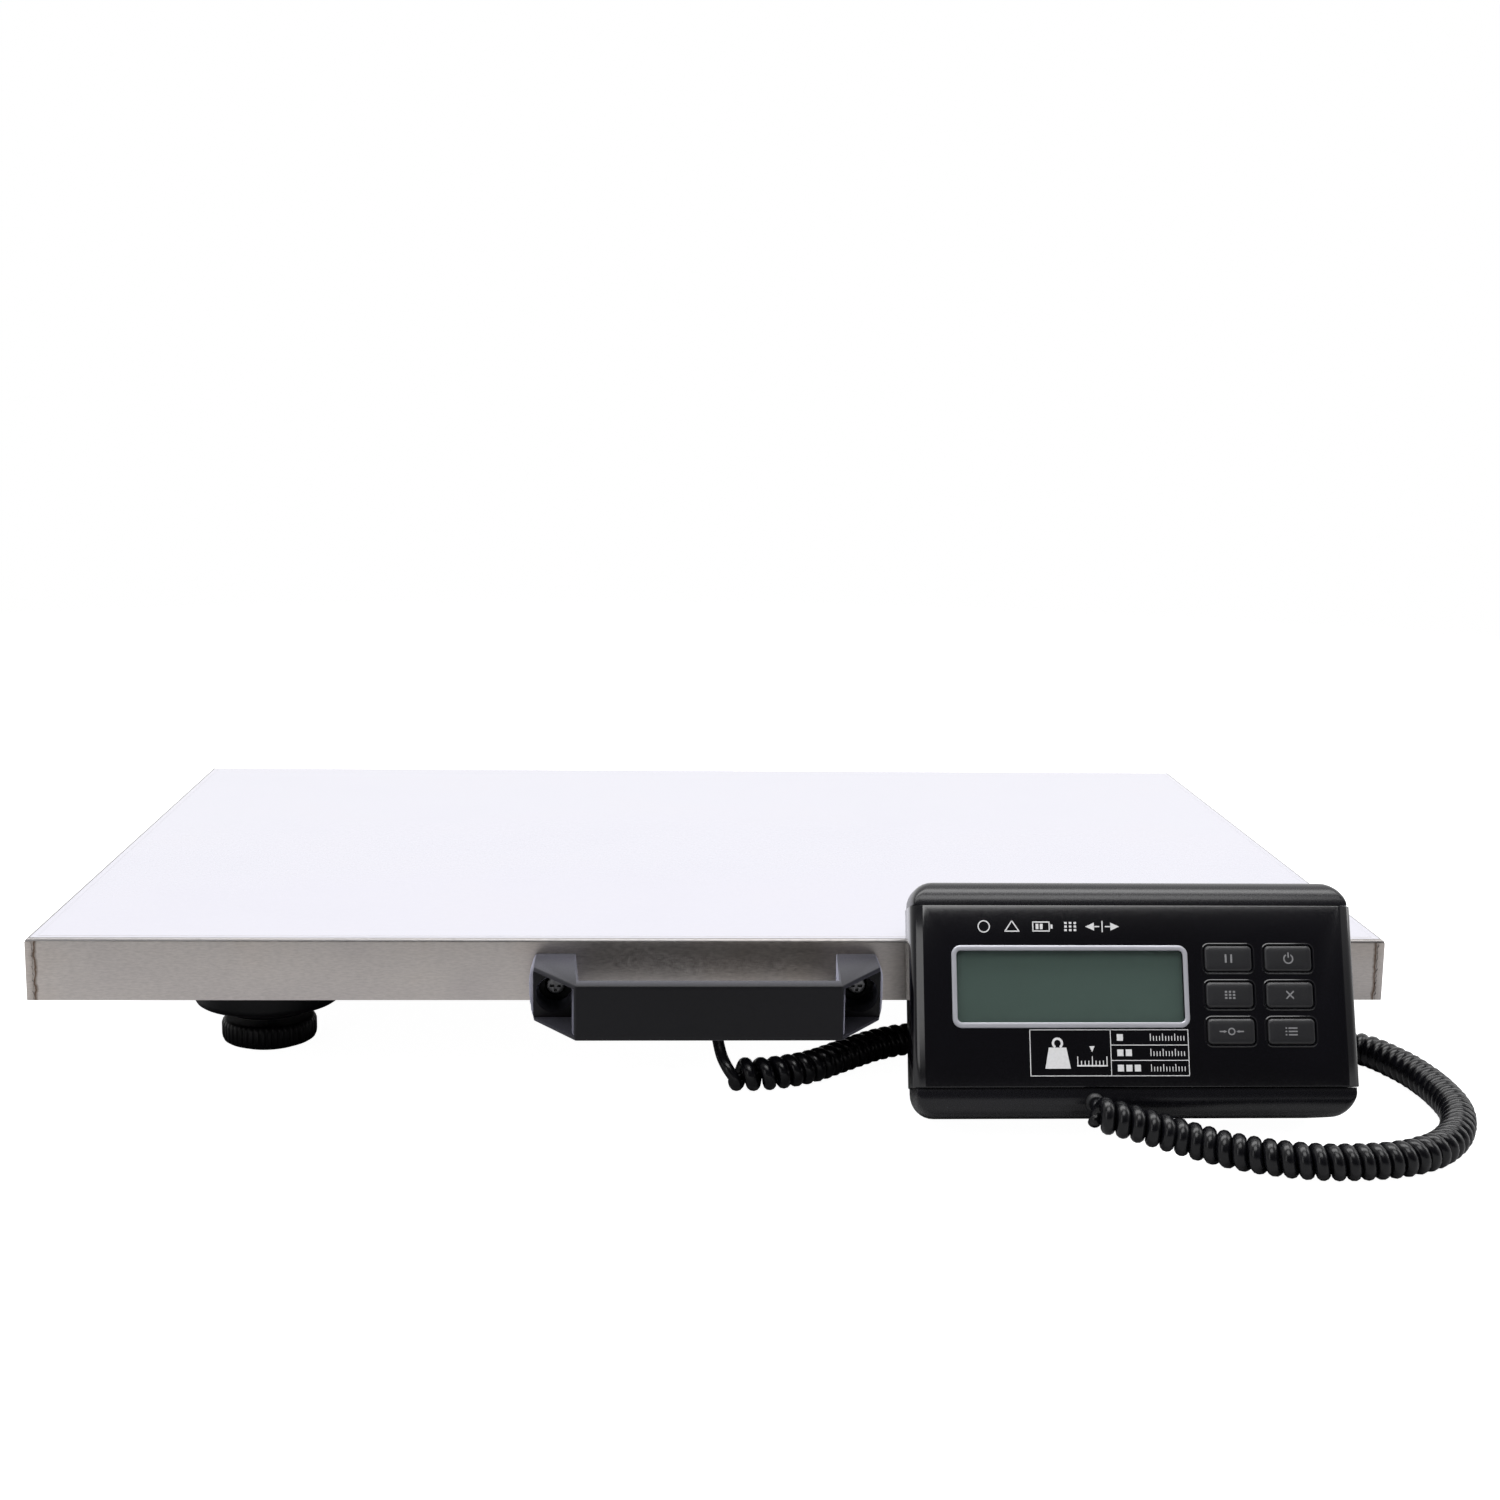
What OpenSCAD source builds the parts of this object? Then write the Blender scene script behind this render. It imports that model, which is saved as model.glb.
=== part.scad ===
// Low platform scale on four load-cell feet, with a loose indicator on a curly cord.
// Millimetres. +Z up, +X right, the front faces -Y. The floor is z = 0.
// The origin lies under the middle of the box that holds platform and indicator.

/* [Platform] */
// Width of the deck, left to right
deck_w = 600; // [560:10:700]
// Depth of the deck, front to back
deck_d = 400; // [360:10:500]
// Height of the deck's top face over the floor
deck_h = 73; // [72:1:76]
// Height of the folded skirt
skirt_h = 28; // [24:1:30]
// Thickness of the deck sheet
sheet_t = 1.2; // [0.8:0.1:1.5]

/* [Frame] */
// Side of the square frame tube
tube = 20; // [16:1:20]
// Wall of the frame tubes
tube_wall = 1.5; // [1:0.1:2]
// Width of the two cross members that carry the feet
cross_w = 30; // [26:1:40]
// Thickness of the plates over the feet
plate_t = 3; // [2:0.5:4]
// Side of the plates over the feet
plate_side = 80; // [76:1:90]

/* [Feet] */
// Distance of each foot's axis from the deck's side edge
foot_inset_x = 89; // [70:1:100]
// Distance of each foot's axis from the deck's front or back edge
foot_inset_y = 84; // [70:1:100]
// Radius of the load-cell housing
housing_r = 34.5; // [32:0.5:36]
// Radius of the knurled levelling knob
knob_r = 22.3; // [20:0.1:24]
// Number of ribs round the knob
knob_ribs = 48; // [24:1:60]
// Outer radius of the levelling screw
stud_r = 4.95; // [4.9:0.01:4.98]

/* [Handle] */
// Sideways place of the handle's middle
handle_x = -3.9; // [-20:0.1:20]
// Length of the handle at the skirt
handle_len = 155; // [150:1:170]
// How far the handle reaches in front of the skirt
handle_reach = 50; // [44:1:56]
// Height of the handle
handle_h = 24; // [22:1:26]

/* [Indicator] */
// Width of the indicator
ind_w = 190; // [186:1:200]
// Height of the indicator
ind_h = 100; // [98:1:110]
// Depth of the indicator
ind_t = 40; // [38:1:44]
// Left side of the indicator
ind_x = 81.6; // [40:0.1:100]
// Lean of the indicator against the deck's edge, degrees
lean = 21; // [15:1:25]
// Key width
key_w = 20.4; // [18:0.1:21]
// Key height
key_h = 11; // [9:0.1:12]

/* [Cord] */
// Diameter of the cord itself
cord_d = 4.8; // [4:0.1:5]
// Outer diameter of the curly part
coil_d = 15.4; // [14:0.1:16]

/* [Hidden] */

$fn = 64;
eps = 0.01;
gap = 0.3;              // room between pieces that move past each other
lean_gap = 0.8;         // room between the indicator's back and the deck's front edge

// Indicator levels, measured from its back face (w = 0) towards its front
band_t = ind_t - 1.5;   // front of the bands above and below the front cover
band_r = 10;            // rounding of the bands' front edges
seam_low = 12.2;        // lower and upper seam of the front cover
seam_high = ind_h - 10.6;
case_wall = 2.3;
cover_t = 2.5;
cover_side_w = 20;      // back edge of the cover's side walls
side_step = 0.6;        // the cover stands this much proud of the case at each side
side_draft = 2.6;       // the case narrows by this much at each side towards its back
side_edge = 1.2;        // chamfer at the front ends of the bands
corner_r = 10;          // corners of the case in its front view
chamfer_u = 6;          // the cover's side chamfers
chamfer_w = 1.6;
relief_nose = 2.4;      // how far the strain relief stands out of the lower band
relief_r = 3.9;
relief_flange_r = 4.6;
relief_flange = [3.6, 5.8];

// The indicator's lowest edge stands on the floor and its back leans on the deck's front edge
ind_reach = (lean_gap + deck_h * sin(lean)) / cos(lean);
cover_reach = ind_reach - (seam_low + gap) * sin(lean) + ind_t * cos(lean);
relief_reach = ind_reach - band_r * sin(lean) + (band_t - band_r) * cos(lean) + band_r + relief_nose;
front_reach = max(cover_reach, relief_reach);
deck_front = (front_reach - deck_d) / 2;
ind_y = deck_front - ind_reach;

// Platform levels
frame_top = deck_h - sheet_t;
frame_low = frame_top - tube;
plate_low = frame_low - plate_t;
housing_low = 20.5;
boss_low = 15.5;
boss_r = 20;
housing_bolt_r = 27.5;  // the housing's screws stand on this radius
bolt_hole_r = 1.6;
bolt_head = [24.6, 27]; // lower and upper face of the screw heads
cell_side = 34;
cell_t = 3;
cell_low = plate_low - 7.8;
bush_low = 20;
bush_r = 8;
bush_flange_r = 12;
bush_bore_r = 5;
stud_top = 36;
knob_low = 1.4;
knob_top = 12.3;
pad_r = 17;
pad_t = 1.3;
spigot_r = 6;
spigot_top = 6;
frame_inset = sheet_t + 0.5;
foot_x = deck_w / 2 - foot_inset_x;
foot_y = [deck_front + foot_inset_y, deck_front + deck_d - foot_inset_y];

// Handle
handle_top = deck_h - 6.5;
handle_mid = handle_top - handle_h / 2;
handle_screw_x = 66;
handle_base_t = 6;
handle_bulge_r = 26;    // the handle's ends are round in the front view
rail_hole = frame_inset + 2 * tube_wall;        // depth of the handle's holes in skirt and rail
screw_r = 2.4;

// Junction box under the deck's middle
box_w = 90;
box_d = 60;
box_y = deck_front + 80;
box_wall = 2;
gland_x = -2;
gland_z = frame_low + 10;
gland_bore_r = cord_d / 2 + 0.05;
lead_r = 1.8;
lead_row = 15;          // leads enter the box this far from its front and back faces
lead_low = cell_low + 4;
lead_high = frame_low + 8;
clip_x = 120;

// Indicator inside levels
window_uv = [19, 39.5, 96.8, 30.3];           // left, low, width, height
bezel_out = [16.9, 37.2, 100.9, 34.8];
relief_u = 76.4;
key_u = [135.3, 161.1];
key_v = [66.4, 51, 35.6];
board_w = 30.4;
board_t = 1.6;
mat_w = board_w + board_t;
mat_t = 1.2;
dome_h = 1.5;
key_low = mat_w + mat_t + dome_h;
battery_uv = [70, 24, 48.5, 26.5];
battery_t = 17.5;
battery_low = 3.2;
snap_v = [7, 19.5];
door_uv = [62, 19, 72, 36];
door_t = 1.5;
door_travel = 12;
case_screw_u = [14, ind_w - 14];
case_screw_v = [20, ind_h - 19];
jack_v = 50;
jack_w = 12;
jack_r = 4;
jack_bore_r = 2.75;
jack_u = ind_w - side_step - 1.1;   // face of the inlet, in the drafted side wall
jack_body = case_wall + 1;          // from that face to the square body behind the wall
buzzer_uv = [150, 60];

// Cord route, x, y behind the deck's front edge, and height
tail_route = [
    [-2, 62, 61.8], [-2, 52, 61], [-1.5, 43, 56], [-1, 35, 47], [0, 28, 36],
    [2, 21, 24], [5, 14, 16], [9, 9.2, 12.9]
];
coil_route = [
    [9, 9.2, 7.7], [25, 10, 7.7], [44, 19, 7.7], [62, 36, 7.7], [77, 50, 7.7], [93, 59, 7.7],
    [115, 62, 7.7], [150, 57, 7.7], [210, 50, 7.7], [265, 53, 7.7], [295, 52, 7.7],
    [309, 42, 7.7], [316, 27, 7.7], [321, 8, 7.7], [323, -17, 7.7], [320.5, -44, 7.7],
    [311, -68, 7.7], [298, -85, 7.7], [286, -93.5, 7.7], [275, -98, 7.7], [260, -100.5, 7.7],
    [244, -100.5, 7.7], [228, -96.5, 7.7], [213, -89.5, 7.8], [200, -82.5, 8.8], [190, -79.5, 10.8],
    [181, -78.5, 13.3], [173, -77.5, 15.5], [166, -76.5, 17.2], [160, -75.5, 18.5]
];
short_tail_route = [
    [158, -64.3, 19.5], [158, -66.5, 19.3], [157.2, -69.5, 18.6], [156.5, -72.5, 17.8], [157.3, -75, 17.2],
    [158.9, -75.8, 17]
];

function unit(v) = v / norm(v);
function catmull(a, b, c, d, t) =
    0.5 * (2 * b + (c - a) * t + (2 * a - 5 * b + 4 * c - d) * t * t + (3 * b - a - 3 * c + d) * t * t * t);
function route_point(p, i, t) =
    catmull(p[max(i - 1, 0)], p[i], p[i + 1], p[min(i + 2, len(p) - 1)], t);
function smooth(p, n) = concat(
    [for (i = [0:len(p) - 2]) for (k = [0:n - 1]) route_point(p, i, k / n)],
    [p[len(p) - 1]]
);
function heading(p, i) = unit(p[min(i + 1, len(p) - 1)] - p[max(i - 1, 0)]);
function ring(p, i, r, sides, up) =
    let (d = heading(p, i), a = unit(cross(d, up)), b = cross(a, d))
    [for (k = [0:sides - 1]) p[i] + r * (cos(360 * k / sides) * a + sin(360 * k / sides) * b)];

// A closed tube along a path; up is any direction that the path never takes
module tube_along(path, r, sides, up) {
    n = len(path);
    points = [for (i = [0:n - 1]) each ring(path, i, r, sides, up)];
    walls = [for (i = [0:n - 2]) for (k = [0:sides - 1])
        let (j = (k + 1) % sides)
        [i * sides + k, (i + 1) * sides + k, (i + 1) * sides + j, i * sides + j]];
    first_cap = [for (k = [0:sides - 1]) k];
    last_cap = [for (k = [sides - 1:-1:0]) (n - 1) * sides + k];
    polyhedron(points, concat(walls, [first_cap], [last_cap]), convexity = 6);
}

module from_deck_front() translate([0, deck_front, 0]) children();

// The indicator's own axes: x along its width, y up its face, z out of its face
module indicator_place() translate([ind_x, ind_y, 0]) rotate([90 - lean, 0, 0]) children();

module block(x0, x1, y0, y1, z0, z1) translate([x0, y0, z0]) cube([x1 - x0, y1 - y0, z1 - z0]);

// Rounded rectangle from its low corner
module rrect(w, h, r) {
    translate([r, 0]) square([w - 2 * r, h]);
    translate([0, r]) square([w, h - 2 * r]);
    for (x = [r, w - r]) for (y = [r, h - r]) translate([x, y]) circle(r);
}

module rplate(x, y, w, h, r, z0, z1) translate([x, y, z0]) linear_extrude(z1 - z0) rrect(w, h, r);

module rod(r, z0, z1) translate([0, 0, z0]) cylinder(r = r, h = z1 - z0);

// A rod along +Y from y0 to y1
module rod_y(r, y0, y1) translate([0, y0, 0]) rotate([-90, 0, 0]) cylinder(r = r, h = y1 - y0);

// ---- Platform ----

module handle_holes(r, depth) {
    for (side = [-1, 1])
        translate([handle_x + side * handle_screw_x, deck_front, handle_mid]) rod_y(r, -eps, depth);
}

module deck_pan() color("gainsboro") difference() {
    block(-deck_w / 2, deck_w / 2, deck_front, deck_front + deck_d, deck_h - skirt_h, deck_h);
    block(-deck_w / 2 + sheet_t, deck_w / 2 - sheet_t, deck_front + sheet_t,
        deck_front + deck_d - sheet_t, deck_h - skirt_h - 1, frame_top);
    handle_holes(screw_r + 0.1, 2 * sheet_t);
}

// A square tube along X, on its low corner
module tube_x(len, width) difference() {
    cube([len, width, tube]);
    translate([-1, tube_wall, tube_wall]) cube([len + 2, width - 2 * tube_wall, tube - 2 * tube_wall]);
}

module tube_y(len, width) translate([width, 0, 0]) rotate([0, 0, 90]) tube_x(len, width);

rail_len = deck_w - 2 * frame_inset;
cross_len = deck_d - 2 * frame_inset - 2 * tube;

module frame_rail_front() color("dimgray") difference() {
    translate([-rail_len / 2, deck_front + frame_inset, frame_low]) tube_x(rail_len, tube);
    handle_holes(screw_r + 0.1, rail_hole);
}

module frame_rail_back() color("dimgray")
    translate([-rail_len / 2, deck_front + deck_d - frame_inset - tube, frame_low])
        tube_x(rail_len, tube);

module frame_end(x) color("dimgray")
    translate([x, deck_front + frame_inset + tube, frame_low]) tube_y(cross_len, tube);

module frame_rail_left() frame_end(-rail_len / 2);

module frame_rail_right() frame_end(rail_len / 2 - tube);

module frame_cross_members() color("dimgray")
    for (side = [-1, 1])
        translate([side * foot_x - cross_w / 2, deck_front + frame_inset + tube, frame_low])
            tube_y(cross_len, cross_w);

module at_feet() for (side = [-1, 1]) for (y = foot_y) translate([side * foot_x, y, 0]) children();

module at_housing_screws()
    for (a = [45:90:315]) rotate([0, 0, a]) translate([housing_bolt_r, 0, 0]) children();

module foot_plates() color("slategray") at_feet() difference() {
    block(-plate_side / 2, plate_side / 2, -plate_side / 2, plate_side / 2, plate_low, frame_low);
    at_housing_screws() rod(bolt_hole_r, plate_low - 1, frame_low + 1);
}

// ---- Feet ----

// Corner 0 is front left, 1 front right, 2 back left, 3 back right
module at_foot(corner)
    translate([(corner % 2 == 0 ? -1 : 1) * foot_x, foot_y[floor(corner / 2)], 0]) children();

module load_cell_housing(corner) color("#17181b") at_foot(corner) difference() {
    rotate_extrude() polygon([
        [0, boss_low], [boss_r - 1, boss_low], [boss_r, boss_low + 1], [boss_r, housing_low - 1],
        [housing_r - 3, housing_low], [housing_r - 0.9, housing_low + 0.9],
        [housing_r, housing_low + 3], [housing_r, plate_low], [0, plate_low]
    ]);
    rod(bush_r + 0.3, boss_low - 1, cell_low);
    rod(bush_flange_r + 0.4, cell_low - 4.4, cell_low + 1);
    block(-cell_side / 2 - gap, cell_side / 2 + gap, -cell_side / 2 - gap, cell_side / 2 + gap,
        cell_low, plate_low + 1);
    at_housing_screws() rod(bolt_hole_r, bolt_head[0], plate_low + 1);
    at_housing_screws() rod(3.4, housing_low - 2, bolt_head[1]);
    lead_hole(corner);
}

module lead_hole(corner)
    translate([0, 0, lead_low]) rotate([0, (corner % 2 == 0 ? 1 : -1) * 90, 0])
        cylinder(r = lead_r + 0.2, h = housing_r + 1);

module load_cell(corner) color("silver") at_foot(corner) difference() {
    block(-cell_side / 2, cell_side / 2, -cell_side / 2, cell_side / 2, cell_low, cell_low + cell_t);
    for (side = [-1, 1])
        block(side * 11 - 1.5, side * 11 + 1.5, -11, 12, cell_low - 1, cell_low + cell_t + 1);
    block(-10, 10, 9, 12, cell_low - 1, cell_low + cell_t + 1);
}

module load_bushes() color("goldenrod") at_feet() difference() {
    union() {
        rod(bush_r, bush_low, cell_low);
        rod(bush_flange_r, cell_low - 4, cell_low);
    }
    rod(bush_bore_r, bush_low - 1, cell_low - 2.5);
}

module housing_screws() color("silver") at_feet() at_housing_screws() {
    rod(3.1, bolt_head[0], bolt_head[1]);
    rod(bolt_hole_r - 0.1, bolt_head[1], frame_low);
}

module foot_pad(corner) color("#26262a") at_foot(corner) {
    rod(pad_r, 0, pad_t);
    rod(spigot_r, pad_t, spigot_top);
}

// Ribbed outline: each rib is a flat tooth with a narrow groove beside it
module knob_outline() polygon([
    for (i = [0:knob_ribs - 1]) each [
        for (c = [[0, knob_r], [0.55, knob_r], [0.68, knob_r - 0.6], [0.87, knob_r - 0.6]])
            let (a = 360 * (i + c[0]) / knob_ribs) c[1] * [cos(a), sin(a)]
    ]
]);

module foot_knob(corner) color("#141416") at_foot(corner) difference() {
    intersection() {
        translate([0, 0, knob_low]) linear_extrude(knob_top - knob_low) knob_outline();
        rotate_extrude() polygon([
            [0, knob_low], [knob_r - 2.6, knob_low], [knob_r - 0.8, knob_low + 1.6],
            [knob_r + 1, knob_low + 4], [knob_r + 1, knob_top - 2.4], [knob_r - 2.6, knob_top], [0, knob_top]
        ]);
    }
    rod(spigot_r + 0.06, knob_low - 1, spigot_top + 0.2);
    rod(stud_r, spigot_top, knob_top + 1);
}

module foot_stud(corner) color("silver") at_foot(corner) rod(stud_r, spigot_top + 0.2, stud_top);

// ---- Handle ----

// Half of the handle's outline seen from above; x outwards, y forwards from the skirt
outer_end = [
    [handle_len / 2, 0], [handle_len / 2 + 0.2, 6], [handle_len / 2 - 0.6, 13], [handle_len / 2 - 2.5, 22]
];
bar_half = 56;
screw_well_r = 7.7;     // round well from each pocket's floor down to the screw head
pocket_h = handle_h - 2 * 1.7;
pocket_floor = outer_end[3][1];
pocket_outline = [
    [58.4, pocket_floor], [80, pocket_floor], [80, 32], [66, 60], [57, 49.4], [56.3, 48.7], [57.6, 44]
];
handle_half = concat(
    [[bar_half, handle_reach]],
    [for (i = [len(outer_end) - 1:-1:0]) outer_end[i]],
    [[57.5, 0], [55, handle_reach - 8.5]]
);

module handle_plan() polygon([
    for (side = [1, -1]) for (i = [0:len(handle_half) - 1])
        let (p = handle_half[side > 0 ? i : len(handle_half) - 1 - i]) [side * p[0], -p[1]]
]);

// Both ends bulge outwards in the front view, most at half height
module handle_barrel() {
    half = handle_len / 2 + 0.2;
    translate([0, 0, handle_mid]) rotate([90, 0, 0]) translate([0, 0, -1]) linear_extrude(handle_reach + 12)
        intersection_for(side = [-1, 1])
            translate([side * (half - handle_bulge_r), 0]) union() {
                circle(handle_bulge_r);
                translate([side > 0 ? -2 * half : 0, -handle_bulge_r]) square([2 * half, 2 * handle_bulge_r]);
            }
}

// Room for a screw, open on the slanted end
module handle_pocket(side) translate([0, 0, handle_mid - pocket_h / 2]) linear_extrude(pocket_h)
    polygon([for (p = pocket_outline) [side * p[0], -p[1]]]);

module handle() color("#2b2c30") translate([handle_x, deck_front, 0]) difference() {
    intersection() {
        translate([0, 0, handle_top - handle_h]) linear_extrude(handle_h) handle_plan();
        handle_barrel();
    }
    for (side = [-1, 1]) {
        handle_pocket(side);
        translate([side * handle_screw_x, 0, handle_mid]) {
            rod_y(screw_well_r, -pocket_floor - 1, -handle_base_t);
            rod_y(screw_r + 0.1, -handle_base_t - 1, 1);
        }
    }
}

module handle_screws() color("silver")
    for (side = [-1, 1]) translate([handle_x + side * handle_screw_x, deck_front, handle_mid]) {
        rod_y(4.6, -handle_base_t - 3, -handle_base_t);
        rod_y(screw_r, -handle_base_t, rail_hole - 0.2);
    }

// ---- Junction box and wiring under the deck ----

module junction_box() color("#333438") translate([0, box_y, 0]) difference() {
    block(-box_w / 2, box_w / 2, 0, box_d, frame_low, frame_top);
    block(-box_w / 2 + box_wall, box_w / 2 - box_wall, box_wall, box_d - box_wall, frame_low - 1,
        frame_top - box_wall);
    translate([gland_x, 0, gland_z]) rod_y(5.1, -1, box_wall + 1);
    for (side = [-1, 1]) for (y = [lead_row, box_d - lead_row])
        translate([0, y, lead_high]) rotate([0, side * 90, 0]) cylinder(r = lead_r + 0.1, h = box_w / 2 + 1);
}

module junction_lid() color("#3c3d42")
    translate([0, box_y, 0]) block(-box_w / 2, box_w / 2, 0, box_d, frame_low - 2, frame_low);

module junction_board() color("darkgreen") translate([0, box_y, 0])
    block(-box_w / 2 + 12, box_w / 2 - 12, 6, box_d - 6, frame_top - 6, frame_top - 4.4);

// Lead of one corner: out of the housing, up into the frame's depth, then to the box's side
function lead_route(sx, fy, by) = [
    [sx * (foot_x - 31), fy, lead_low], [sx * (foot_x - 44), fy, lead_low],
    [sx * (foot_x - 52), fy, lead_low + 4], [sx * (foot_x - 60), fy, lead_high],
    [sx * 110, fy, lead_high], [sx * 90, fy, lead_high], [sx * 78, fy + (by - fy) * 0.08, lead_high],
    [sx * 74, fy + (by - fy) * 0.5, lead_high], [sx * 70, fy + (by - fy) * 0.92, lead_high],
    [sx * 58, by, lead_high], [sx * (box_w / 2 - 1), by, lead_high]
];

module sensor_leads() color("#8c8d92")
    for (side = [-1, 1]) for (row = [0, 1])
        tube_along(lead_route(side, foot_y[row], box_y + lead_row + row * (box_d - 2 * lead_row)),
            lead_r, 8, [1, 2, -3]);

// Saddle clips that hang the leads from the deck's underside
module lead_clips() color("#e8e8e4")
    for (side = [-1, 1]) for (row = [0, 1]) translate([side * clip_x, foot_y[row], 0]) difference() {
        block(-4, 4, -5, 5, lead_high - 3.5, frame_top);
        translate([-5, 0, lead_high]) rotate([0, 90, 0]) cylinder(r = lead_r + 0.1, h = 10);
        block(-5, 5, -3.4, 3.4, lead_high + 3.4, frame_top - 1.5);
    }

module cord_gland() color("#1b1b1d") translate([gland_x, box_y, gland_z]) difference() {
    union() {
        rod_y(5, -1, 3);
        rod_y(7, 2, 4);
        rod_y(7.5, -4, 0);
        translate([0, -4, 0]) rotate([90, 0, 0]) cylinder(r1 = 6, r2 = 3.6, h = 14);
    }
    rod_y(gland_bore_r, -20, 6);
}

// ---- Cord ----

module cord_tail_platform() color("#121214") from_deck_front()
    tube_along(smooth(tail_route, 2), cord_d / 2, 8, [1, 0, 0]);

module cord_coil() color("#121214") from_deck_front()
    tube_along(smooth(coil_route, 2), coil_d / 2, 12, [0, 0, 1]);

module cord_tail_indicator() color("#121214") from_deck_front()
    tube_along(short_tail_route, cord_d / 2, 8, [0, 0, 1]);

// The relief points straight forward out of the lower band's rounded edge
module relief_place() indicator_place()
    translate([relief_u, band_r, band_t - band_r]) rotate([lean, 0, 0]) children();

module strain_relief() color("#18181a") relief_place() difference() {
    union() {
        rod(relief_r, relief_flange[0], band_r + relief_nose);
        rod(relief_flange_r, relief_flange[0], relief_flange[1]);
    }
    rod(gland_bore_r, relief_flange[0] - 1, band_r + relief_nose + 1);
}

// ---- Indicator ----

// Side view of the case: y up the face, z towards the front, front corners rounded
module case_side_view(inset, r) {
    h = ind_h - 2 * inset;
    t = band_t - 2 * inset;
    translate([inset, inset]) {
        square([h, t - r]);
        translate([r, 0]) square([h - 2 * r, t]);
        for (y = [r, h - r]) translate([y, t - r]) circle(r);
    }
}

// View of the case from above: narrower towards its back, with a small chamfer in front
module case_top_view(inset) {
    u = side_step + inset;
    half = [[u + side_draft, -1], [u, cover_side_w], [u, band_t - side_edge], [u + side_edge, band_t + 0.1]];
    polygon([for (i = [0:7]) i < 4 ? half[i] : [ind_w - half[7 - i][0], half[7 - i][1]]]);
}

// Solid of the case: side view along the width, cut to its front view and its view from above
module case_solid(inset) intersection() {
    translate([side_step + inset, 0, 0]) rotate([90, 0, 90])
        linear_extrude(ind_w - 2 * side_step - 2 * inset) case_side_view(inset, band_r - inset);
    rplate(side_step + inset, inset, ind_w - 2 * side_step - 2 * inset, ind_h - 2 * inset,
        corner_r - inset, 0, band_t + 1);
    translate([0, ind_h + 1, 0]) rotate([90, 0, 0]) linear_extrude(ind_h + 2) case_top_view(inset);
}

module at_case_screws() for (u = case_screw_u) for (v = case_screw_v) translate([u, v, 0]) children();

module indicator_back_case() color("#1d1d20") difference() {
    indicator_place() difference() {
        union() {
            difference() {
                case_solid(0);
                case_solid(case_wall);
                // opening for the front cover
                block(-1, ind_w + 1, seam_low, seam_high, cover_side_w, ind_t + 1);
            }
            battery_well();
        }
        case_cuts();
    }
    relief_place() rod(relief_r + 0.1, 5, band_r + 3);
}

module case_cuts() {
    rplate(door_uv[0], door_uv[1], door_uv[2] + door_travel + 1, door_uv[3], 2, -1, door_t + 0.1);
    block(battery_uv[0] - 0.5, battery_uv[0] + battery_uv[2] + 8, battery_uv[1] - 0.5,
        battery_uv[1] + battery_uv[3] + 0.5, -1, battery_low + battery_t + 0.3);
    at_case_screws() rod(1.6, -1, case_wall + 1);
    at_case_screws() rod(3.2, -1, 1.2);
    translate([ind_w - 8, jack_v, jack_w]) rotate([0, 90, 0]) cylinder(r = jack_r + 0.05, h = 9);
}

module battery_well()
    block(battery_uv[0] - 2, battery_uv[0] + battery_uv[2] + 9.5, battery_uv[1] - 2,
        battery_uv[1] + battery_uv[3] + 2, 1, battery_low + battery_t + 1.8);

module indicator_front_cover() color("#0c0c0e") indicator_place() difference() {
    union() {
        difference() {
            // front view from above: side walls, chamfers and the flat front
            translate([0, seam_high - gap, 0]) rotate([90, 0, 0])
                linear_extrude(seam_high - seam_low - 2 * gap) polygon([
                    [0, cover_side_w], [0, ind_t - chamfer_w - 1], [0.8, ind_t - chamfer_w],
                    [chamfer_u, ind_t], [ind_w - chamfer_u, ind_t],
                    [ind_w - 0.8, ind_t - chamfer_w], [ind_w, ind_t - chamfer_w - 1], [ind_w, cover_side_w]
                ]);
            block(2.4, ind_w - 2.4, -1, ind_h + 1, cover_side_w - 1, ind_t - chamfer_w - cover_t);
            block(chamfer_u, ind_w - chamfer_u, -1, ind_h + 1, cover_side_w - 1, ind_t - cover_t);
        }
        at_case_screws() rod(3.4, case_wall + 0.2, ind_t - cover_t);
    }
    at_case_screws() rod(1.25, 0, 16);
    rplate(window_uv[0], window_uv[1], window_uv[2], window_uv[3], 2, 30, ind_t + 1);
    for (u = key_u) for (v = key_v)
        rplate(u - key_w / 2 - gap, v - key_h / 2 - gap, key_w + 2 * gap, key_h + 2 * gap, 2.3,
            30, ind_t + 1);
}

module lcd_bezel() color("#b9bcc2") indicator_place() difference() {
    rplate(bezel_out[0], bezel_out[1], bezel_out[2], bezel_out[3], 4, ind_t, ind_t + 0.8);
    rplate(window_uv[0], window_uv[1], window_uv[2], window_uv[3], 2, ind_t - 1, ind_t + 2);
}

module lcd_window() color("#46544d") indicator_place()
    rplate(window_uv[0] + 0.1, window_uv[1] + 0.1, window_uv[2] - 0.2, window_uv[3] - 0.2, 1.9,
        ind_t - 1.8, ind_t - 0.5);

module lcd_module() color("#3d4842") indicator_place()
    rplate(12.4, 35, 110, 39, 1, mat_w, ind_t - cover_t);

module display_board() color("darkgreen") indicator_place()
    block(8, ind_w - 8, 26, 76, board_w, board_w + board_t);

module keypad_mat() color("#55565a") indicator_place() {
    rplate(key_u[0] - 12.3, key_v[2] - 8.5, 50.4, 47.8, 3, mat_w, mat_w + mat_t);
    for (u = key_u) for (v = key_v) translate([u, v, 0]) rod(4, mat_w + mat_t - eps, key_low);
}

module key_cap(column, row) color("#2d2e31") indicator_place() {
    rplate(key_u[column] - key_w / 2, key_v[row] - key_h / 2, key_w, key_h, 2, key_low, ind_t + 0.8);
    rplate(key_u[column] - key_w / 2 - 0.8, key_v[row] - key_h / 2 - 0.8, key_w + 1.6, key_h + 1.6, 2.6,
        key_low, ind_t - cover_t - 0.2);
}

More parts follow.
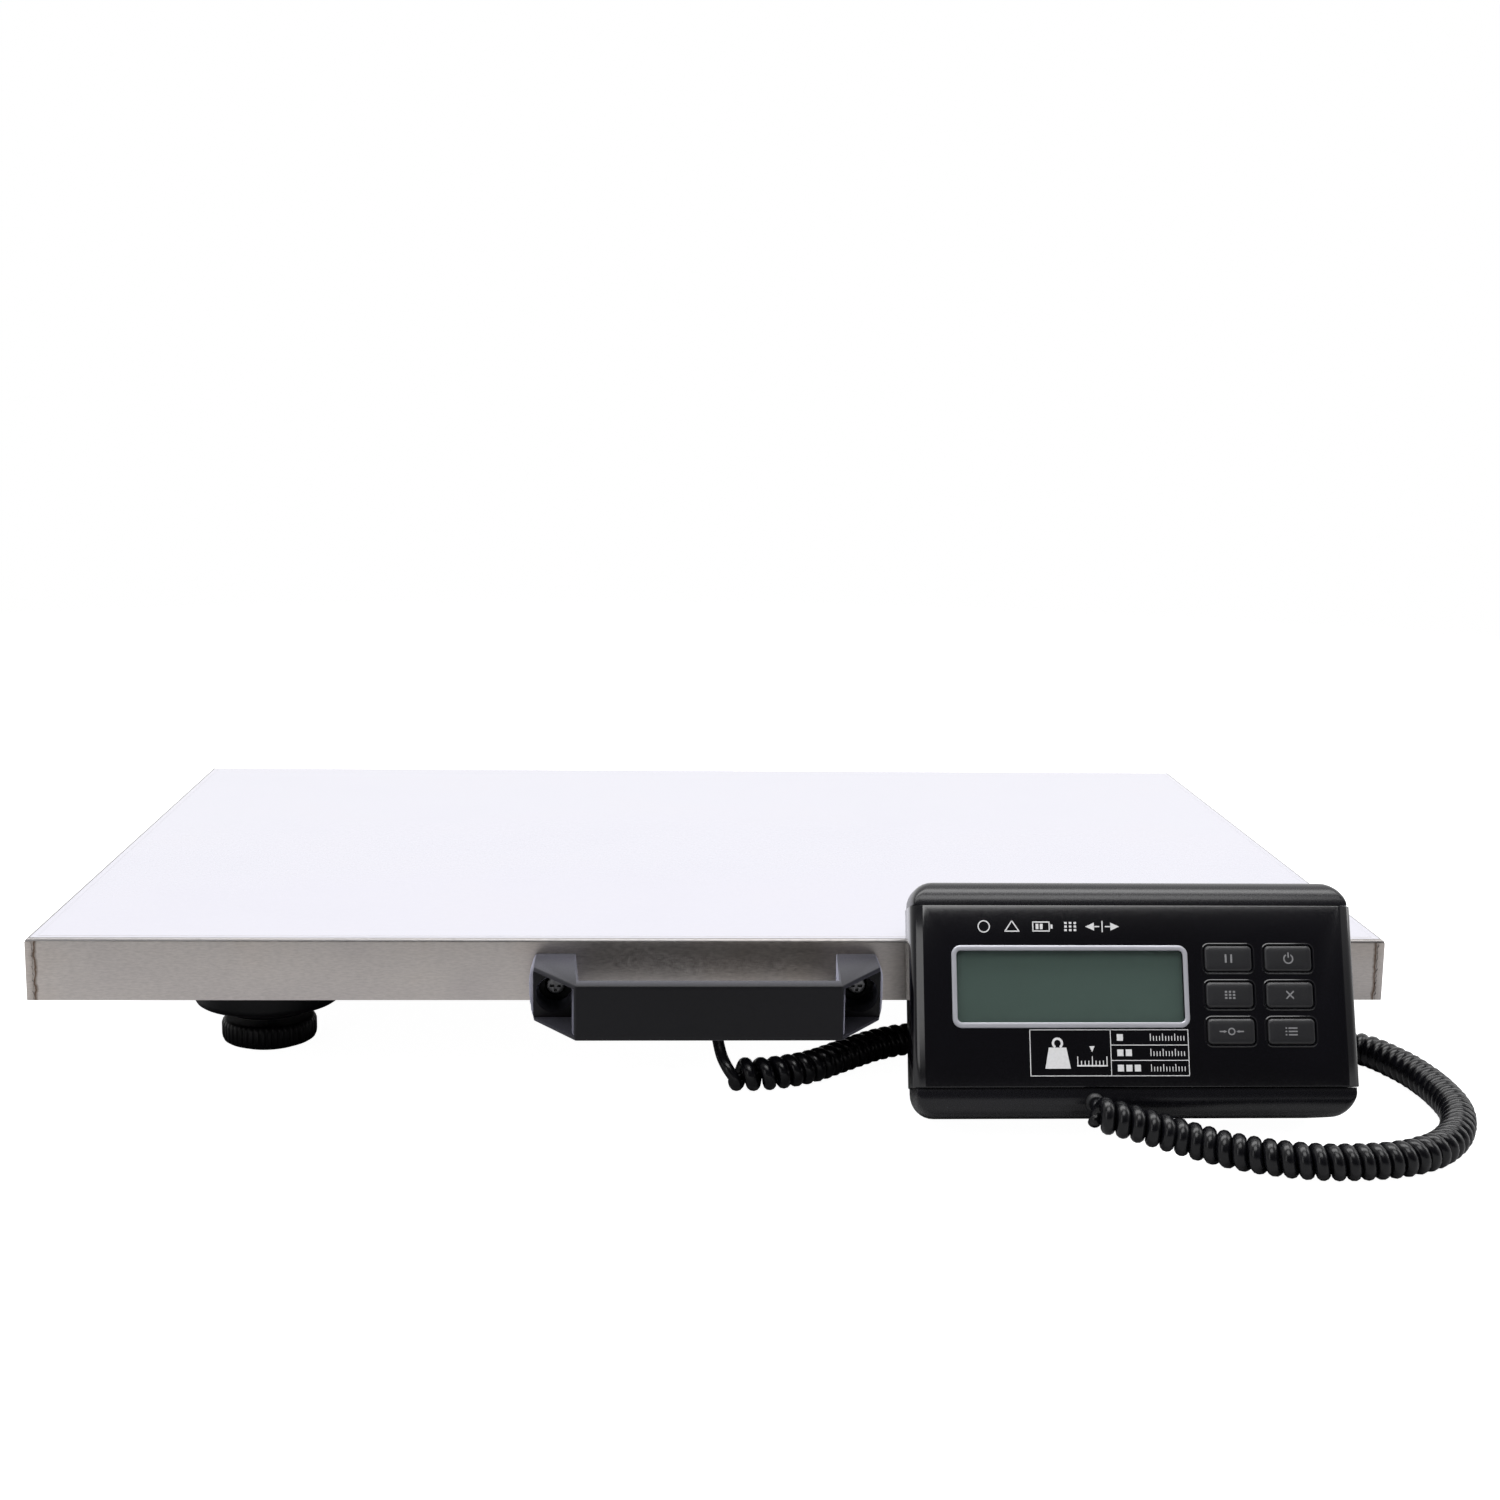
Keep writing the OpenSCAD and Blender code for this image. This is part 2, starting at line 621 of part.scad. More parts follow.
module key_hold() key_cap(0, 0);
module key_power() key_cap(1, 0);
module key_count() key_cap(0, 1);
module key_clear() key_cap(1, 1);
module key_tare() key_cap(0, 2);
module key_mode() key_cap(1, 2);

module battery() color("#7a7f86") indicator_place() {
    rplate(battery_uv[0], battery_uv[1], battery_uv[2] - 2, battery_uv[3], 2,
        battery_low, battery_low + battery_t);
    for (v = snap_v)
        translate([battery_uv[0] + battery_uv[2] - 2, battery_uv[1] + v, battery_low + battery_t / 2])
            rotate([0, 90, 0]) cylinder(r = 3, h = 2);
}

module battery_snap() color("#202022") indicator_place() difference() {
    end_u = battery_uv[0] + battery_uv[2];
    middle = battery_low + battery_t / 2;
    block(end_u - 1.9, end_u + 2.5, battery_uv[1] + 1, battery_uv[1] + 25.5, middle - 6, middle + 6);
    for (v = snap_v) translate([end_u - 2.5, battery_uv[1] + v, middle])
        rotate([0, 90, 0]) cylinder(r = 3.1, h = 2.7);
}

module battery_door() color("#202023") indicator_place()
    rplate(door_uv[0] + gap, door_uv[1] + gap, door_uv[2] - 2 * gap, door_uv[3] - 2 * gap, 2, 0, door_t);

module dc_jack() color("#101012") indicator_place() translate([jack_u, jack_v, jack_w])
    rotate([0, -90, 0]) difference() {
        union() {
            cylinder(r = jack_r, h = 8);
            translate([-6, -6, jack_body]) cube([12, 12, 10]);
        }
        translate([0, 0, -1]) cylinder(r = jack_bore_r, h = 9.5);
    }

module buzzer() color("#0f0f10") indicator_place() translate([buzzer_uv[0], buzzer_uv[1], 0])
    rod(5, board_w - 8, board_w);

module case_screws() color("silver") indicator_place() at_case_screws() {
    rod(2.9, 0.1, 1.2);
    rod(1.2, 1.2, 15);
}

deck_pan();
frame_rail_front();
frame_rail_back();
frame_rail_left();
frame_rail_right();
frame_cross_members();
foot_plates();
load_cell_housing(0);  // load_cell_housing_fl
load_cell_housing(1);  // load_cell_housing_fr
load_cell_housing(2);  // load_cell_housing_bl
load_cell_housing(3);  // load_cell_housing_br
load_cell(0);  // load_cell_fl
load_cell(1);  // load_cell_fr
load_cell(2);  // load_cell_bl
load_cell(3);  // load_cell_br
load_bushes();
housing_screws();
foot_pad(0);  // foot_pad_fl
foot_pad(1);  // foot_pad_fr
foot_pad(2);  // foot_pad_bl
foot_pad(3);  // foot_pad_br
foot_knob(0);  // foot_knob_fl
foot_knob(1);  // foot_knob_fr
foot_knob(2);  // foot_knob_bl
foot_knob(3);  // foot_knob_br
foot_stud(0);  // foot_stud_fl
foot_stud(1);  // foot_stud_fr
foot_stud(2);  // foot_stud_bl
foot_stud(3);  // foot_stud_br
handle();
handle_screws();
junction_box();
junction_lid();
junction_board();
sensor_leads();
lead_clips();
cord_gland();
cord_tail_platform();
cord_coil();
cord_tail_indicator();
strain_relief();
indicator_back_case();
indicator_front_cover();
lcd_bezel();
lcd_window();
lcd_module();
display_board();
keypad_mat();
key_hold();
key_power();
key_count();
key_clear();
key_tare();
key_mode();
battery();
battery_snap();
battery_door();
dc_jack();
buzzer();
case_screws();
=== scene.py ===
import math

import bmesh
import bpy
from mathutils import Matrix, Vector


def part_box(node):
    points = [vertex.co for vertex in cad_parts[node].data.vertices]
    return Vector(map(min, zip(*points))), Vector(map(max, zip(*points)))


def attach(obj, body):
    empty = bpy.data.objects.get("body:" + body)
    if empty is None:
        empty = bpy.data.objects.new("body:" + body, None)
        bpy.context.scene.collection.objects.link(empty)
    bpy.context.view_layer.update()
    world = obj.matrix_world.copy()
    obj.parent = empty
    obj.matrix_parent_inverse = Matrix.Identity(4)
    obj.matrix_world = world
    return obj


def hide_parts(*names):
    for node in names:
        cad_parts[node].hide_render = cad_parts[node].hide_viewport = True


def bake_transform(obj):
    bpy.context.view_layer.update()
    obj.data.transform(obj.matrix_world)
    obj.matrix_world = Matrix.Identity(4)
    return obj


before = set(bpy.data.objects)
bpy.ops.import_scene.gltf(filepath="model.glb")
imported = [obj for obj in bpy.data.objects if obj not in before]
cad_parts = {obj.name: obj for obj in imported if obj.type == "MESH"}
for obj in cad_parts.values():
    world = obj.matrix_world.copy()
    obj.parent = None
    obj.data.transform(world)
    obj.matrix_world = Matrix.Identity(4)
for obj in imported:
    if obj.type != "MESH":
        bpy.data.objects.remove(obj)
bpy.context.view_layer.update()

# Shapes are drawn in millimetres in three places: the record frame, the deck's front plane
# (y = 0 on the skirt's face) and the indicator's face (u across, v up, w out of its back).
MM = 0.001
LEAN = math.radians(21)
INDICATOR_SIZE = (190, 100, 40)
INDICATOR_LEFT = 81.6

deck_low, deck_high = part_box("deck_pan")
case_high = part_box("indicator_back_case")[1]
DECK_FRONT = deck_low.y / MM
INDICATOR_Y = case_high.y / MM - INDICATOR_SIZE[1] * math.sin(LEAN)
TO_METRES = Matrix.Diagonal((MM, MM, MM, 1))
ON_DECK = TO_METRES @ Matrix.Translation((0, DECK_FRONT, 0))
ON_FACE = (TO_METRES @ Matrix.Translation((INDICATOR_LEFT, INDICATOR_Y, 0))
           @ Matrix.Rotation(math.pi / 2 - LEAN, 4, "X"))
SWAP_YZ = Matrix(((1, 0, 0, 0), (0, 0, 1, 0), (0, 1, 0, 0), (0, 0, 0, 1)))
FORWARD = Matrix.Rotation(math.pi / 2, 4, "X")      # turns +Z to the front
UPSIDE_DOWN = Matrix.Rotation(math.pi, 4, "X")

scene = bpy.context.scene


# ---- Camera ----

CAMERA_TURN = (10.166, 2.834, -0.8214)              # degrees down, to the right and rolled
CAMERA_LENS = 50.30
CAMERA_FROM_EDGE = (-0.03017, -0.89408, 0.2453)     # metres from the middle of the deck's front edge


def place_camera():
    """A 50 mm lens low in front of the scale, a little left of the middle."""
    pitch, yaw, roll = (math.radians(a) for a in CAMERA_TURN)
    forward = Vector((math.sin(yaw) * math.cos(pitch), math.cos(yaw) * math.cos(pitch),
                      -math.sin(pitch)))
    level = Vector((math.cos(yaw), -math.sin(yaw), 0))
    rise = level.cross(forward)
    right = math.cos(roll) * level - math.sin(roll) * rise
    up = math.sin(roll) * level + math.cos(roll) * rise
    data = bpy.data.cameras.new("camera")
    data.sensor_width = 36
    data.lens = CAMERA_LENS
    data.clip_start = 0.01
    data.clip_end = 100
    camera = bpy.data.objects.new("camera", data)
    scene.collection.objects.link(camera)
    turn = Matrix((right, up, -forward)).transposed().to_4x4()
    edge = Vector((0, deck_low.y, deck_high.z))
    camera.matrix_world = Matrix.Translation(edge + Vector(CAMERA_FROM_EDGE)) @ turn
    scene.camera = camera


place_camera()


# ---- Materials ----

def new_material(name):
    material = bpy.data.materials.new(name)
    material.use_nodes = True
    nodes = material.node_tree.nodes
    shader = next(n for n in nodes if n.type == "BSDF_PRINCIPLED")
    place = nodes.new("ShaderNodeTexCoord")
    return material, nodes, material.node_tree.links, shader, place.outputs["Object"]


def noise(nodes, links, place, scale, detail=3, stretch=(1, 1, 1)):
    mapping = nodes.new("ShaderNodeMapping")
    mapping.inputs["Scale"].default_value = stretch
    links.new(place, mapping.inputs["Vector"])
    texture = nodes.new("ShaderNodeTexNoise")
    texture.inputs["Scale"].default_value = scale
    texture.inputs["Detail"].default_value = detail
    links.new(mapping.outputs["Vector"], texture.inputs["Vector"])
    return texture.outputs["Fac"]


def ramp(nodes, links, value, stops):
    node = nodes.new("ShaderNodeValToRGB")
    node.color_ramp.elements[0].position = stops[0][0]
    node.color_ramp.elements[0].color = (*stops[0][1], 1)
    node.color_ramp.elements[1].position = stops[-1][0]
    node.color_ramp.elements[1].color = (*stops[-1][1], 1)
    for position, colour in stops[1:-1]:
        node.color_ramp.elements.new(position).color = (*colour, 1)
    links.new(value, node.inputs["Fac"])
    return node.outputs["Color"]


def spread(nodes, links, value, low, high, start=0.3, end=0.7):
    node = nodes.new("ShaderNodeMapRange")
    node.inputs["From Min"].default_value = start
    node.inputs["From Max"].default_value = end
    node.inputs["To Min"].default_value = low
    node.inputs["To Max"].default_value = high
    links.new(value, node.inputs["Value"])
    return node.outputs["Result"]


def bump(nodes, links, height, shader, strength, distance):
    node = nodes.new("ShaderNodeBump")
    node.inputs["Strength"].default_value = strength
    node.inputs["Distance"].default_value = distance
    links.new(height, node.inputs["Height"])
    links.new(node.outputs["Normal"], shader.inputs["Normal"])


def mixed(nodes, links, first, blend="MIX"):
    """A colour mix on top of the first colour; its factor and second colour are set by the caller."""
    node = nodes.new("ShaderNodeMix")
    node.data_type = "RGBA"
    node.blend_type = blend
    links.new(first, node.inputs["A"])
    return node


def shades(colour, amount):
    """The colour made darker and lighter by this share."""
    return [tuple(c * (1 - amount) for c in colour), tuple(min(1, c * (1 + amount)) for c in colour)]


def plain(name, colour, rough, metal=0.0, vary=0.15, patch=40, grain=2500, depth=0.00002, strength=0.3,
          coat=0.0, specular=0.5, sheen=0.0):
    """Moulded, painted, cast or rubber stock: soft patches of shade, uneven gloss and a fine grain."""
    material, nodes, links, shader, place = new_material(name)
    patches = noise(nodes, links, place, patch)
    dark, light = shades(colour, vary)
    links.new(ramp(nodes, links, patches, [(0.3, dark), (0.7, light)]), shader.inputs["Base Color"])
    shader.inputs["Metallic"].default_value = metal
    shader.inputs["Coat Weight"].default_value = coat
    shader.inputs["Coat Roughness"].default_value = 0.08
    shader.inputs["Specular IOR Level"].default_value = specular
    shader.inputs["Sheen Weight"].default_value = sheen
    shader.inputs["Sheen Roughness"].default_value = 0.35
    shader.inputs["Sheen Tint"].default_value = (0.8, 0.8, 1, 1)
    fine = noise(nodes, links, place, grain, detail=2)
    links.new(spread(nodes, links, fine, rough * 0.85, min(1, rough * 1.15)), shader.inputs["Roughness"])
    bump(nodes, links, fine, shader, strength, depth)
    return material


def brushed(name, colour, rough, scratch, streak=0.05, cloud=0.07, weld=0.0, metal=1.0):
    """Sheet steel with short scratches (scratch: how fine they are along each axis) and cloudy patches."""
    material, nodes, links, shader, place = new_material(name)
    lines = noise(nodes, links, place, 1, detail=5, stretch=scratch)
    clouds = noise(nodes, links, place, 14, detail=5)
    dark, light = shades(colour, streak)
    streaks = ramp(nodes, links, lines, [(0.3, dark), (0.7, light)])
    dull = (1 - cloud, 1 - cloud, 1 - 0.8 * cloud)
    warm = (1 + 0.3 * cloud, 1 - 0.1 * cloud, 1 - 0.5 * cloud)
    patches = ramp(nodes, links, clouds, [(0.32, dull), (0.5, (1, 1, 1)), (0.68, warm)])
    mix = mixed(nodes, links, streaks, "MULTIPLY")
    mix.inputs["Factor"].default_value = 1
    links.new(patches, mix.inputs["B"])
    colour_out = mix.outputs["Result"]
    if weld:
        colour_out = heat_line(nodes, links, place, colour_out, weld)
    links.new(colour_out, shader.inputs["Base Color"])
    shader.inputs["Metallic"].default_value = metal
    links.new(spread(nodes, links, lines, rough * 0.85, rough * 1.2), shader.inputs["Roughness"])
    bump(nodes, links, lines, shader, 0.3, 0.00004)
    return material


HEAT_ZONE = 0.006           # metres from the end of the skirt in which the line lies
HEAT_WANDER = 0.0022
HEAT_BROWN = (0.10, 0.052, 0.024, 1)


def heat_line(nodes, links, place, colour, amount):
    """A brown, uneven line beside the folded tab at both ends of a long skirt."""
    split = nodes.new("ShaderNodeSeparateXYZ")
    links.new(place, split.inputs["Vector"])
    wander = noise(nodes, links, place, 260, detail=4)
    ends = nodes.new("ShaderNodeMath")
    ends.operation = "ABSOLUTE"
    links.new(split.outputs["X"], ends.inputs[0])
    shifted = nodes.new("ShaderNodeMath")
    shifted.operation = "MULTIPLY_ADD"
    links.new(wander, shifted.inputs[0])
    shifted.inputs[1].default_value = HEAT_WANDER
    links.new(ends.outputs["Value"], shifted.inputs[2])
    zone = spread(nodes, links, shifted.outputs["Value"], 0, 1, deck_high.x - HEAT_ZONE,
                  deck_high.x)
    none, faint, full = ((share * amount,) * 3 for share in (0, 0.3, 1))
    mask = ramp(nodes, links, zone, [(0.34, none), (0.56, full), (0.64, faint), (1, none)])
    mix = mixed(nodes, links, colour)
    links.new(mask, mix.inputs["Factor"])
    mix.inputs["B"].default_value = HEAT_BROWN
    return mix.outputs["Result"]


def glass(name, colour, alpha):
    """A clear pane with a faint, uneven tint."""
    material, nodes, links, shader, place = new_material(name)
    faint = noise(nodes, links, place, 90)
    links.new(ramp(nodes, links, faint, [(0.3, colour), (0.7, tuple(c * 1.1 for c in colour))]),
              shader.inputs["Base Color"])
    links.new(spread(nodes, links, faint, 0.05, 0.09), shader.inputs["Roughness"])
    shader.inputs["Alpha"].default_value = alpha
    return material


SCRATCH_X, SCRATCH_Z = (380, 1500, 1500), (1500, 1500, 380)
# One stainless steel in four copies by surface. The bends' copy is darker as painted shade; the top's copy
# has a lavender tint and a part-diffuse base as a painted reflection that keeps it bright.
bend_steel_painted_shade = brushed("stainless_bend_painted_shade", (0.26, 0.25, 0.25), 0.42, SCRATCH_X, 0.03)
stainless_long = brushed("stainless_long", (0.60, 0.56, 0.535), 0.34, SCRATCH_X, 0.10, 0.10, weld=0.95)
stainless_short = brushed("stainless_short", (0.55, 0.53, 0.515), 0.24, SCRATCH_Z)
stainless_top_painted_light = brushed("stainless_top_painted_light", (0.635, 0.628, 0.70), 0.18, SCRATCH_X, 0.01, 0.012, metal=0.6)
frame_paint = plain("frame_paint", (0.10, 0.105, 0.11), 0.45, patch=60, grain=900, depth=0.00006)
cell_alloy = plain("cell_alloy", (0.55, 0.56, 0.57), 0.35, metal=1, vary=0.08)
foot_plastic = plain("foot_plastic", (0.0035, 0.0033, 0.0045), 0.4, vary=0.3, depth=0.00004, specular=0.25)
foot_rubber = plain("foot_rubber", (0.018, 0.018, 0.019), 0.75, vary=0.25, grain=1800, depth=0.00008)
zinc = plain("zinc_steel", (0.58, 0.58, 0.55), 0.28, metal=1, vary=0.12, patch=300)
# Screw steel darkened as painted shade, for the screw heads deep in the handle's wells
screw_steel_painted_shade = plain("screw_steel_painted_shade", (0.16, 0.16, 0.165), 0.3, metal=1, vary=0.12, patch=300)
brass = plain("brass", (0.72, 0.50, 0.22), 0.32, metal=1, vary=0.1, patch=200)
handle_plastic = plain("handle_plastic", (0.0030, 0.0029, 0.0044), 0.44, vary=0.12, patch=25, grain=1600,
                       depth=0.00005, strength=0.35, specular=0.26, sheen=0.55)
box_plastic = plain("box_plastic", (0.03, 0.03, 0.033), 0.5, vary=0.2, depth=0.00005)
solder_mask = plain("board", (0.012, 0.085, 0.035), 0.3, vary=0.35, patch=400, coat=0.3)
lead_jacket = plain("lead_jacket", (0.22, 0.22, 0.24), 0.5)
clip_nylon = plain("clip_nylon", (0.72, 0.72, 0.68), 0.45, vary=0.06)
cord_jacket = plain("cord_jacket", (0.0028, 0.0028, 0.0040), 0.24, vary=0.25, patch=120, grain=3000,
                    depth=0.00002, specular=0.35)
relief_rubber = plain("relief_rubber", (0.011, 0.011, 0.0125), 0.5, vary=0.2)
case_plastic = plain("case_plastic", (0.0058, 0.0056, 0.0078), 0.27, vary=0.15, grain=2200, depth=0.00003,
                     strength=0.25, specular=0.4)
cover_plastic = plain("cover_plastic", (0.0028, 0.0026, 0.0042), 0.13, vary=0.2, patch=18, grain=700,
                      depth=0.000004, strength=0.2, coat=0.4)
bezel_silver = plain("bezel_silver", (0.55, 0.55, 0.60), 0.38, metal=0.5, vary=0.04, grain=3000)
display_glass = glass("display_glass", (0.05, 0.062, 0.058), 0.16)
lcd_panel = plain("lcd_panel", (0.092, 0.147, 0.126), 0.4, vary=0.05, patch=14, grain=4000, depth=0.000005)
keypad_rubber = plain("keypad_rubber", (0.09, 0.09, 0.095), 0.6)
key_plastic = plain("key_plastic", (0.0165, 0.0165, 0.0185), 0.36, vary=0.1, grain=2600, depth=0.00003)
key_ink = plain("key_ink", (0.24, 0.24, 0.25), 0.55, vary=0.12, patch=900)
cover_ink = plain("cover_ink", (0.74, 0.74, 0.75), 0.5, vary=0.05, patch=900)
battery_can = plain("battery_can", (0.22, 0.23, 0.26), 0.3, metal=0.6, vary=0.1)
small_black = plain("small_black", (0.012, 0.012, 0.013), 0.4, vary=0.2)

# Inner pieces are shown as the CAD draws them
CAD_FINISH = {
    "frame_rail_front": frame_paint, "frame_rail_back": frame_paint, "frame_rail_left": frame_paint,
    "frame_rail_right": frame_paint, "frame_cross_members": frame_paint, "foot_plates": frame_paint,
    "load_cell_fl": cell_alloy, "load_cell_fr": cell_alloy, "load_cell_bl": cell_alloy,
    "load_cell_br": cell_alloy, "load_bushes": brass, "junction_box": box_plastic,
    "junction_lid": box_plastic, "junction_board": solder_mask, "sensor_leads": lead_jacket,
    "lead_clips": clip_nylon, "display_board": solder_mask, "keypad_mat": keypad_rubber,
    "battery": battery_can, "battery_snap": small_black, "dc_jack": small_black, "buzzer": small_black,
}
for node_name, finish in CAD_FINISH.items():
    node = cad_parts[node_name]
    node.data.materials.clear()
    node.data.materials.append(finish)


# ---- Mesh helpers ----

def rounded(u0, v0, u1, v1, r, steps=6):
    """Outline of a rounded rectangle, anticlockwise."""
    corners = ((u1 - r, v1 - r, 0), (u0 + r, v1 - r, 90), (u0 + r, v0 + r, 180), (u1 - r, v0 + r, 270))
    points = []
    for cu, cv, start in corners:
        for k in range(steps + 1):
            a = math.radians(start + 90 * k / steps)
            points.append((cu + r * math.cos(a), cv + r * math.sin(a)))
    return points


def loft(loops, capped=True):
    """A skin through closed loops that all have the same number of points."""
    n = len(loops[0])
    points = [p for loop in loops for p in loop]
    faces = []
    for i in range(len(loops) - 1):
        for k in range(n):
            j = (k + 1) % n
            faces.append((i * n + k, i * n + j, (i + 1) * n + j, (i + 1) * n + k))
    if capped:
        faces.append(tuple(reversed(range(n))))
        faces.append(tuple((len(loops) - 1) * n + k for k in range(n)))
    mesh = bpy.data.meshes.new("part")
    mesh.from_pydata(points, [], faces)
    return tidy(mesh)


def tidy(mesh):
    bm = bmesh.new()
    bm.from_mesh(mesh)
    bmesh.ops.remove_doubles(bm, verts=bm.verts, dist=1e-5)
    bmesh.ops.recalc_face_normals(bm, faces=bm.faces)
    bm.to_mesh(mesh)
    bm.free()
    return mesh


def at_height(outline, height):
    return [(x, y, height) for x, y in outline]


def prism(outline, low, high):
    return loft([at_height(outline, low), at_height(outline, high)])


def slab(x0, x1, y0, y1, z0, z1):
    return prism([(x0, y0), (x1, y0), (x1, y1), (x0, y1)], z0, z1)


def lathe(profile, sides=64, radius=None):
    """A turned piece through (r, z) points; radius(r, z, angle) may change r along the way."""
    loops = []
    for r, z in profile:
        loop = []
        for k in range(sides):
            a = 2 * math.pi * k / sides
            reach = radius(r, z, a) if radius else r
            loop.append((reach * math.cos(a), reach * math.sin(a), z))
        loops.append(loop)
    return loft(loops)


def moved(mesh, matrix):
    mesh.transform(matrix)
    if matrix.determinant() < 0:
        mesh.flip_normals()
    return mesh


def merged(meshes):
    bm = bmesh.new()
    for mesh in meshes:
        bm.from_mesh(mesh)
    joined = bpy.data.meshes.new("part")
    bm.to_mesh(joined)
    bm.free()
    return joined


def applied(mesh, *changes):
    """The mesh after modifiers, each given as (type, settings)."""
    holder = bpy.data.objects.new("holder", mesh)
    scene.collection.objects.link(holder)
    for kind, settings in changes:
        modifier = holder.modifiers.new(kind, kind)
        for key, value in settings.items():
            setattr(modifier, key, value)
    view = bpy.context.evaluated_depsgraph_get()
    result = bpy.data.meshes.new_from_object(holder.evaluated_get(view))
    bpy.data.objects.remove(holder)
    return result


def softened(mesh, width, segments=3, angle=30):
    """The mesh with every edge sharper than angle rounded off."""
    return applied(mesh, ("BEVEL", dict(width=width, segments=segments, limit_method="ANGLE",
                                        angle_limit=math.radians(angle), use_clamp_overlap=True)))


def combined(mesh, other, operation="DIFFERENCE"):
    tool = bpy.data.objects.new("tool", other)
    scene.collection.objects.link(tool)
    result = applied(mesh, ("BOOLEAN", dict(object=tool, operation=operation, solver="EXACT")))
    bpy.data.objects.remove(tool)
    return result


def cut(mesh, *tools):
    for tool in tools:
        mesh = combined(mesh, tool)
    return mesh


def add_piece(name, mesh, place, body, materials, stands_for=(), sharp=32):
    mesh = moved(mesh, place)
    mesh.materials.clear()
    for material in materials:
        mesh.materials.append(material)
    mesh.shade_smooth()
    mesh.set_sharp_from_angle(angle=math.radians(sharp))
    piece = bpy.data.objects.new(name, mesh)
    scene.collection.objects.link(piece)
    if stands_for:
        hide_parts(*stands_for)
    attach(piece, body)
    return piece


# ---- Cord ----

# Route points in metres: x, y behind the deck's front plane, z
TAIL_ROUTE = [
    (-0.002, 0.062, 0.0618), (-0.002, 0.052, 0.061), (-0.0015, 0.043, 0.056), (-0.001, 0.035, 0.047),
    (0, 0.028, 0.036), (0.0015, 0.0205, 0.025), (0.0035, 0.0125, 0.0165), (0.006, 0.0062, 0.0122),
]
COIL_ROUTE = [
    (0.009, 0.0092, 0.0077), (0.025, 0.010, 0.0077), (0.044, 0.019, 0.0077), (0.062, 0.036, 0.0077),
    (0.077, 0.050, 0.0077), (0.093, 0.059, 0.0077), (0.115, 0.062, 0.0077), (0.150, 0.057, 0.0077),
    (0.210, 0.050, 0.0077), (0.265, 0.053, 0.0077), (0.295, 0.052, 0.0077), (0.309, 0.042, 0.0077),
    (0.316, 0.027, 0.0077), (0.321, 0.008, 0.0077), (0.323, -0.017, 0.0077), (0.3205, -0.044, 0.0077),
    (0.311, -0.068, 0.0077), (0.298, -0.085, 0.0077), (0.286, -0.0935, 0.0077), (0.275, -0.098, 0.0077),
    (0.260, -0.1005, 0.0077), (0.244, -0.1005, 0.0077), (0.228, -0.0965, 0.0077), (0.213, -0.0895, 0.0078),
    (0.200, -0.0825, 0.0088), (0.190, -0.0795, 0.0108), (0.181, -0.0785, 0.0133), (0.173, -0.0775, 0.0155),
    (0.166, -0.0765, 0.0172), (0.160, -0.0755, 0.0185),
]
SHORT_TAIL = [(0.1582, -0.0695, 0.0165), (0.158, -0.0664, 0.0190), (0.158, -0.0640, 0.0195)]
CORD_D = 0.0056
COIL_CORD = 1.1             # share of CORD_D in the coil
TAIL_CORD = 0.94            # share of CORD_D in the straight tails
COIL_D = 0.0154             # outside diameter of the turns
TURN_POINTS = 18
# Metres of coil, and the pitch of its turns there: loose at the start, touching from then on
PITCHES = [(0, 0.0078), (0.016, 0.0070), (0.03, 0.0058), (0.36, 0.0057), (0.50, 0.0060), (0.54, 0.0063),
           (0.64, 0.0063), (0.69, 0.0057)]


def curve_point(points, i, t):
    """The point at share t of stretch i, on a smooth curve that passes through every point."""
    a, b = points[max(i - 1, 0)], points[i]
    c, d = points[i + 1], points[min(i + 2, len(points) - 1)]
    return 0.5 * (2 * b + (c - a) * t + (2 * a - 5 * b + 4 * c - d) * t * t
                  + (3 * b - a - 3 * c + d) * t * t * t)


def smooth_path(points, spacing):
    """Points about one spacing apart on a smooth curve through the given ones."""
    path = []
    for i in range(len(points) - 1):
        steps = max(1, round((points[i + 1] - points[i]).length / spacing))
        path += [curve_point(points, i, k / steps) for k in range(steps)]
    return path + [points[-1]]


def between(table, place):
    """The table's value at this place, in a straight line from entry to entry."""
    for (s0, v0), (s1, v1) in zip(table, table[1:]):
        if place <= s1:
            return v0 + (v1 - v0) * (place - s0) / (s1 - s0)
    return table[-1][1]


def helix(middle):
    """Turns round the middle line, from its front side on. The last one ends at the bottom."""
    way = [0.0]
    for a, b in zip(middle, middle[1:]):
        way.append(way[-1] + (b - a).length)
    radius = (COIL_D - CORD_D * COIL_CORD) / 2
    points, s, phase, i = [], 0.0, math.pi / 2, 0
    step = 2 * math.pi / TURN_POINTS
    while s < way[-1] or math.cos(phase) > -0.9 or math.sin(phase) > 0:
        while way[i + 1] < s and i < len(way) - 2:
            i += 1
        t = (s - way[i]) / (way[i + 1] - way[i])
        ahead = middle[min(i + 2, len(middle) - 1)] - middle[i]
        heading = (middle[i + 1] - middle[i]).lerp(ahead, t).normalized()
        side = heading.cross(Vector((0, 0, 1))).normalized()
        rise = side.cross(heading)
        centre = middle[i].lerp(middle[i + 1], t)
        points.append(centre + radius * (math.cos(phase) * rise + math.sin(phase) * side))
        phase += step
        s += between(PITCHES, s) / TURN_POINTS
    return points


def tube(path, radii, sides=12):
    """A round tube along the path, turned as little as possible from ring to ring."""
    loops = []
    heading = (path[1] - path[0]).normalized()
    side = heading.orthogonal().normalized()
    for i, point in enumerate(path):
        ahead = (path[min(i + 1, len(path) - 1)] - path[max(i - 1, 0)]).normalized()
        side = heading.rotation_difference(ahead) @ side
        side = (side - side.dot(ahead) * ahead).normalized()
        heading = ahead
        other = heading.cross(side)
        loops.append([point + radii[i] * (math.cos(2 * math.pi * k / sides) * side
                                        + math.sin(2 * math.pi * k / sides) * other) for k in range(sides)])
    return loft(loops)


